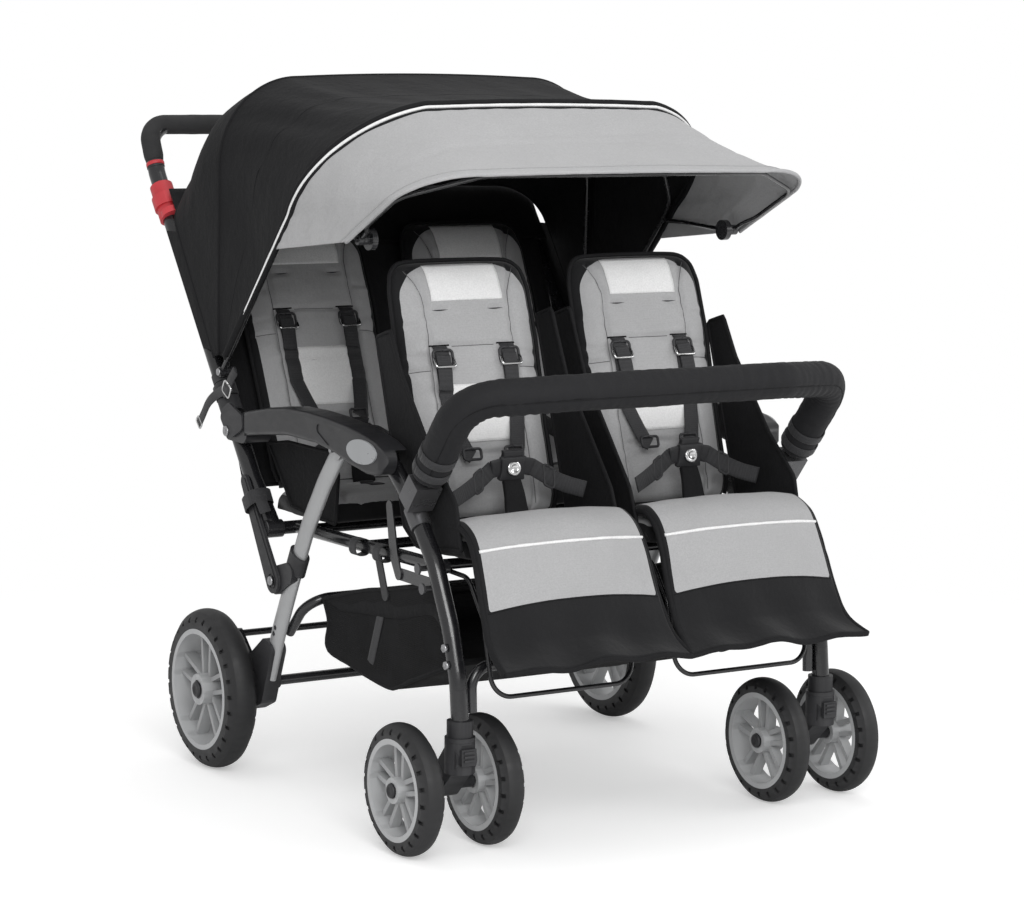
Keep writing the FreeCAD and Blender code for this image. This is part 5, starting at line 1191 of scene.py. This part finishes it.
CHEEK_PANEL = ((464.2, 666.3), (589.9, 849.2))
CHEEK_TUBE = ((496.1, 666.3), (632.5, 849.2))


def make_sling():
    foot, head = (Vector((0, *p)) for p in REAR_BACK)
    run = head - foot
    away = Vector((0, run.z, -run.y)).normalized()

    def sling(share, t):
        u, v = t * 2 - 1, 0.02 + 0.92 * share
        slack = max(wave(u * 3.0, v * 5, 9.0) * 1.6 - 0.5, -0.4)
        q = foot + run * v + away * 39.8 + away * slack
        return P(u * 323.4, q.y, q.z)

    # the curtain behind the rear heads, from the sling's top up to the canopy's hem
    low, high = P(0, 571.5, 823.5), P(0, 642.0, 917.0)
    rise = high - low
    back = Vector((0, rise.z, -rise.y)).normalized()

    def curtain(share, t):
        u = t * 2 - 1
        slack = wave(u * 7.0, share * 1.5, 31.0) * 0.0030 * math.sin(math.pi * share)
        return low + rise * share + back * min(slack, 0.0012) + Vector((u * 0.3440, 0, 0))

    # the cloth that closes each side between the canopy's back panel and the handle tube
    def cheek(side):
        def at(share, t):
            y, z = ((CHEEK_PANEL[0][k] * (1 - share) + CHEEK_PANEL[1][k] * share) * (1 - t)
                    + (CHEEK_TUBE[0][k] * (1 - share) + CHEEK_TUBE[1][k] * share) * t for k in (0, 1))
            slack = wave(share * 4.0, t * 1.2, 57.0) * 0.9 * math.sin(math.pi * t)
            return P(side * (353.15 + slack), y, z)
        return at

    for name, n, m, at, held in (
        ("sling", 40, 60, sling, "stretched"), ("curtain", 16, 70, curtain, "hung"),
        ("cheek", 26, 12, cheek(-1), "stretched"), ("cheek", 26, 12, cheek(1), "stretched"),
    ):
        G = grid(n, m, at)
        suffix = "" if name != "cheek" else "_left" if G[0, 0, 0] < 0 else "_right"
        piece = sheet_piece(f"rear_{name}_cloth{suffix}", G, "black_cloth", CLOTH_THICK)
        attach(piece, "handle_frame")
        if name == "sling":
            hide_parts("rear_back_sling")
            for k, row in enumerate((G[0], G[-1])):
                place(tube(f"rear_sling_edge_{k}", spaced(row, 90), 0.0024, "black_cloth", sides=7), "handle_frame")


# Harness

STRAP_X = 0.0575
BUCKLE_TILT = Matrix.Rotation(math.radians(12), 3, "X")
BELT_SIDE = (0, 0.12, 1)


def on_both_seats(pieces, body):
    """Puts each piece on its body, with a mirrored copy for the seat on the other side."""
    for obj in pieces:
        for o in (obj, mirror_copy(obj, obj.name + "_m")):
            place(o, body)


def shoulder_strap(row, sx, c, tree):
    """One strap with its slot in the cushion, slider, loose tail and end ring."""
    x = sx * STRAP_X
    pts = [on_face(tree, c, x, v, 0.0016) for v in np.linspace(0.655, 0.30, 30)]
    end = c.foot + c.along * (0.225 * c.length) + c.out * (0.036 * c.length)
    end = Vector((SEAT + sx * 0.036, end.y, end.z))
    line = [on_face(tree, c, x, 0.657, -0.010)] + pts[:-6] + [pts[-1] * 0.4 + end * 0.6 + c.out * 0.002, end]
    slot = [on_face(tree, c, x + d, 0.660, 0.0002) for d in np.linspace(-0.0165, 0.0165, 14)]
    at = on_face(tree, c, x, 0.610, 0.0042)
    across = Vector(ACROSS)
    rim = [at + Vector((a * 0.0168, 0, 0)) + c.along * b + c.out * h
           for a, b, h in ((-1, -0.001, 0.0012), (-1, -0.0150, 0.0060), (1, -0.0150, 0.0060), (1, -0.001, 0.0012))]
    tail = [at + c.along * t + c.out * (0.001 + 0.0028 * math.sin(k * 0.6)) + Vector((0.004 * k / 5, 0, 0))
            for k, t in enumerate(np.linspace(0.004, -0.050, 6))]
    return [
        band(f"{row}_strap_{sx}", curve(line, 3, 60), ACROSS, WEB, 0.0017, "webbing", crown=0.0004),
        tube(f"{row}_slot_{sx}", slot, 0.0013, "black_cloth"),
        loop_ring(f"{row}_slider_{sx}", at, across, c.along, 0.0165, 0.0115, 0.0021, "plastic"),
        tube(f"{row}_slider_rim_{sx}", bent(rim, 0.004, 4), 0.0019, "chrome"),
        band(f"{row}_strap_tail_{sx}", curve(tail, 4, 24), (1, 0, 0.06), 0.0245, 0.0015, "webbing"),
        loop_ring(f"{row}_strap_end_{sx}", end + c.along * 0.004, across, c.along, 0.0150, 0.0080, 0.0022, "plastic"),
    ]


def waist_belt(row, sx, centre, hip_y):
    tongue = centre + Vector((sx * 0.027, 0.001, 0.001))
    turn = Matrix.Rotation(sx * 0.2, 3, "Y") @ BUCKLE_TILT
    start, end = tongue + Vector((sx * 0.006, 0, 0)), P(SEAT_X + sx * 112, hip_y, 497)
    bends = [start * 0.66 + end * 0.34 + Vector((0, 0.002, -0.004)),
             start * 0.33 + end * 0.67 + Vector((0, 0.003, -0.004))]
    belt = curve([start, *bends, end], 8, 34)
    return [
        round_box(f"{row}_tongue_{sx}", (0.018, 0.007, 0.026), tongue, turn, "plastic"),
        band(f"{row}_waist_{sx}", belt, BELT_SIDE, WEB, 0.0017, "webbing"),
        loop_ring(f"{row}_waist_slider_{sx}", belt[12], (belt[13] - belt[11]).normalized(),
                  Vector(BELT_SIDE).normalized(), 0.009, 0.0155, 0.0020, "plastic"),
    ]


def make_harness(backs, pan_trees):
    first_lap = None
    for row, offset in (("front", 0.0), ("rear", 470.0)):
        cushion, tree = backs[row]
        straps = [piece for sx in (-1, 1) for piece in shoulder_strap(row, sx, cushion, tree)]
        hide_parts(row + "_shoulder_straps")
        on_both_seats(straps, "front_backs" if row == "front" else "handle_frame")
        # buckle, waist belts, crotch pad and crotch strap
        buckle_y = -133.0 + offset
        centre = P(SEAT_X, buckle_y - 2.0, 533)
        lap = [
            round_box(f"{row}_buckle_body", (0.044, 0.011, 0.036), centre, BUCKLE_TILT, "plastic", 0.003),
            disc(f"{row}_buckle_button", centre + Vector((0, -0.0045, 0)), (0, -1, 0.1), 0.0115, 0.004, "chrome",
                 recess=0.1),
            round_box(f"{row}_buckle_collar", (0.036, 0.009, 0.012), centre + Vector((0, 0.0, 0.021)), BUCKLE_TILT,
                      "plastic"),
        ]
        lap += [piece for sx in (-1, 1) for piece in waist_belt(row, sx, centre, buckle_y - 27)]

        def pan_height(y, otherwise):
            hit = pan_trees[row].ray_cast(Vector((SEAT, y, 0.6)), DOWN)[0]
            return hit.z if hit is not None else otherwise

        foot_y = (-145.0 + offset - MIDDLE) / 1000
        z0 = pan_height(foot_y, 0.455)
        line = [Vector((SEAT, foot_y + dy, z0 + dz)) for dy, dz in ((-0.010, 0.0015), (-0.004, 0.012), (0.002, 0.034))]
        lap.append(band(f"{row}_crotch_pad", curve(line + [centre + Vector((0, 0.001, -0.018))], 8, 34), ACROSS,
                        lambda s: 0.040 - 0.010 * s, 0.0085, "black_cloth", crown=0.002))
        start, end = Vector((SEAT, foot_y - 0.014, z0 + 0.001)), Vector((SEAT, foot_y - 0.055, z0 + 0.0016))
        pts = [start.lerp(end, q) for q in np.linspace(0, 1, 12)]
        pts = [Vector((p.x, p.y, pan_height(p.y, p.z) + 0.0012)) for p in pts]
        lap.append(band(f"{row}_crotch_strap", pts, ACROSS, WEB, 0.0016, "webbing"))
        on_both_seats(lap, "seat_frame")
        first_lap = first_lap or lap[0]
    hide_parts("lap_harnesses")


# Straps, clamps and fasteners on the frame

EYELET_LINE = [(0.169, 0.03), (0.366, 0.046), (0.588, 0.039), (0.808, 0.025)]


def make_details():
    heading = Vector((0, *HANDLE_RUN))
    link_dir = (P(0, 345, 469) - P(0, 250, 325)).normalized()
    link_side = Vector((0, -link_dir.z, link_dir.y))
    for side, suffix in SIDES:
        def at(x, y, z):
            return P(side * x, y, z)

        def out(reach):
            return Vector((side * reach, 0, 0))

        def put(body, make, name, *measures, **options):
            place(make(f"{name}_{suffix}", *measures, **options), body)

        # strap, buckle and loose tail just above each folding joint
        buckle = at(356.5, 406, 609)
        lead = [at(352, 384, 640), at(355, 395, 625), buckle, at(357, 418, 603)]
        tail = [buckle, at(357, 436, 600), at(358, 468, 583), at(357, 492, 560), at(356, 512, 541)]
        put("handle_frame", ring_round, "joint_strap", at(TUBE_X, 447, 600), heading, 0.0168, 0.0168, WEB, "webbing")
        put("handle_frame", loop_ring, "joint_buckle", buckle, Vector((0, -0.88, -0.476)), Vector((0, -0.476, 0.88)),
            0.0130, 0.0100, 0.0018, "chrome")
        put("handle_frame", band, "joint_lead", curve(lead, 6, 20), (0, 0.8, 0.5), 0.019, 0.0016, "webbing")
        put("handle_frame", band, "joint_tail", curve(tail, 6, 30), (0, 0.55, 0.75), 0.017, 0.0015, "webbing")
        put("handle_frame", loop_ring, "joint_tail_ring", at(356.5, 508, 546), Vector((0, 0.7, -0.714)),
            Vector((0, 0.714, 0.7)), 0.0060, 0.0095, 0.0013, "chrome")
        # red band and collar near the push handle's foam
        top = at(TUBE_X, *HANDLE[3])
        back = (P(TUBE_X, *HANDLE[2]) - P(TUBE_X, *HANDLE[3])).normalized()
        for k, (at_mm, r, w, look) in enumerate(((71.5, 0.0153, 0.006, "red"), (77.0, 0.0150, 0.003, "plastic"))):
            p = top + back * (at_mm / 1000)
            line = [p - back * w / 2, p - back * w / 4, p + back * w / 4, p + back * w / 2]
            put("handle_frame", tube, f"handle_band_{k}", line,
                lambda s, r=r: r * (0.97 + 0.03 * math.sin(math.pi * s)), look, sides=28)
        # bolts that show on the outside
        for k, (x, y, z, r, body) in enumerate((
            (360.4, 404, 542.8, 0.0085, "handle_frame"), (354.2, 441.55, 633.3, 0.0060, "handle_frame"),
            (361.0, 250, 325, 0.0075, "rear_frame"),
        )):
            put(body, disc, f"side_bolt_{k}", at(x, y, z) - out(0.0022), (side, 0, 0), r, 0.0034, "zinc", recess=0.25)
        # adjustment holes along the silver leg: dark ringed eyelets
        places = [LEG_HEAD] + chord(LEG_HEAD, LEG_FOOT, EYELET_LINE) + [LEG_FOOT]
        line = curve([at(TUBE_X, *p) for p in places], 10, 200)
        for k, share in enumerate((0.80, 0.825)):
            put("rear_frame", disc, f"leg_eyelet_{k}", line[int(share * 199)] + out(0.0088), (side, 0, 0), 0.0038,
                0.0007, "plastic", recess=0.6)
        # strap wrapped round the lock link and the handle tube, with its loose end
        c = at(345, 322, 440)
        tail = [c + link_side * up - link_dir * down + out(reach)
                for up, down, reach in ((0.022, 0, 0.004), (0.026, 0.012, 0.008), (0.030, 0.034, 0.008))]
        put("handle_frame", ring_round, "link_strap", c, link_dir, 0.0205, 0.0235, 0.023, "webbing")
        put("handle_frame", band, "link_tail", curve(tail, 5, 14), (side * 0.35, 0.3, 0.1), 0.018, 0.0015, "webbing")
        # black caps over the axle ends
        put("rear_frame", disc, "rear_hub_cap", at(406.2, 417.5, 128), (side, 0, 0), 0.0125, 0.0042, "plastic",
            recess=0.12)
        for k, (x, toward) in enumerate(((405.0, side), (235.0, -side))):
            put("caster_" + suffix, disc, f"front_hub_cap_{k}", at(x, -217, 96), (toward, 0, 0), 0.0105, 0.0044,
                "plastic", recess=0.12)
        # nuts at the lower clamp bolts of the front leg
        for k, (y, z) in enumerate(((-246, 300), (-251, 276))):
            put("front_frame", disc, f"leg_nut_{k}", at(TUBE_X, y, z) - out(0.004), (side, 0, 0), 0.0068, 0.0050,
                "zinc", sides=6, recess=0.2)
        # webbing loops of the basket on the seat rail
        for k, y in enumerate((-12.0, 60.0)):
            put("seat_frame", ring_round, f"rail_strap_{k}", at(306, y, 401), (0, 1, 0), 0.0125, 0.0125, 0.022,
                "webbing")


# Pieces listed between two bodies are only baked where they stand, and pieces that fold with the frame go on its body
blends = []
folding = []
backs = make_backs()
pan_trees = make_pans()
make_flaps()
make_canopy()
make_grab_sleeve()
make_grip()
make_basket()
make_wings()
make_sling()
make_harness(backs, pan_trees)
make_details()
for piece, a, b, start, end in blends:
    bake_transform(piece)
for piece, body in folding:
    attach(piece, body)
    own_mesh(piece)


# Room, light and camera

WHITE = (1, 1, 1, 1)
FLOOR_SIZE = 24.0

floor_mesh = bpy.data.meshes.new("floor")
floor_mesh.from_pydata([(x * FLOOR_SIZE, y * FLOOR_SIZE, 0) for x, y in ((-1, -1), (1, -1), (1, 1), (-1, 1))], [],
                       [(0, 1, 2, 3)])
floor = add_object("floor", floor_mesh)
floor_mat, ft, floor_shader = graph("floor_white")
seen = node(ft, "LightPath").outputs["Is Camera Ray"]
feed(ft, floor_shader, {"Base Color": (0.86, 0.86, 0.86, 1), "Roughness": 0.9})
glow = node(ft, "Emission", {"Color": WHITE, "Strength": math_node(ft, "MULTIPLY", seen, 0.36)})
near = node(ft, "AddShader", {0: floor_shader.outputs[0], 1: glow.outputs[0]})
distance = node(ft, "VectorMath", {0: spot(ft)}, operation="LENGTH").outputs["Value"]
far_seen = math_node(ft, "MULTIPLY", remap(ft, distance, 0.75, 1.9, 0.0, 1.0), seen)
far = node(ft, "Emission", {"Color": WHITE})
floor_mix = node(ft, "MixShader", {0: far_seen, 1: near.outputs[0], 2: far.outputs[0]})
feed(ft, ft.nodes["Material Output"], {"Surface": floor_mix.outputs[0]})
floor_mesh.materials.append(floor_mat)

world = bpy.data.worlds.new("room")
bpy.context.scene.world = world
world.use_nodes = True
wt = world.node_tree
wt.nodes.clear()
room_light = node(wt, "Background", {"Color": WHITE, "Strength": 0.62})
room_white = node(wt, "Background", {"Color": WHITE, "Strength": 1.0})
room_seen = node(wt, "LightPath").outputs["Is Camera Ray"]
room_mix = node(wt, "MixShader", {0: room_seen, 1: room_light.outputs[0], 2: room_white.outputs[0]})
node(wt, "OutputWorld", {"Surface": room_mix.outputs[0]})


def lamp(name, location, target, width, height, power):
    data = bpy.data.lights.new(name, "AREA")
    data.shape = "RECTANGLE"
    data.size, data.size_y = width, height
    data.energy = power
    obj = add_object(name, data)
    obj.location = location
    obj.rotation_euler = (Vector(target) - Vector(location)).to_track_quat("-Z", "Y").to_euler()


lamp("key", (-1.7, -3.7, 2.5), (0, 0, 0.55), 2.4, 2.0, 92)
lamp("fill", (3.0, -2.2, 1.8), (0, 0, 0.5), 2.0, 1.6, 26)
lamp("top", (0.2, 0.6, 3.6), (0, 0, 0.5), 2.6, 2.6, 17)

right = Vector((0.85247406, -0.52273778, 0.00576039))
up = Vector((0.06260959, 0.11303019, 0.99161697))
ahead = Vector((0.51900675, 0.84496709, -0.1290837))
camera_data = bpy.data.cameras.new("camera")
camera = add_object("camera", camera_data)
camera_data.sensor_fit = "HORIZONTAL"
camera_data.sensor_width = 36.0
camera_data.lens = 103.93
camera_data.clip_end = 60
pose = Matrix((right, up, -ahead)).transposed().to_4x4()
pose.translation = Vector((-2.408819, -3.986539, 1.101760))
camera.matrix_world = pose
bpy.context.scene.camera = camera
bpy.context.scene.view_settings.view_transform = "Standard"
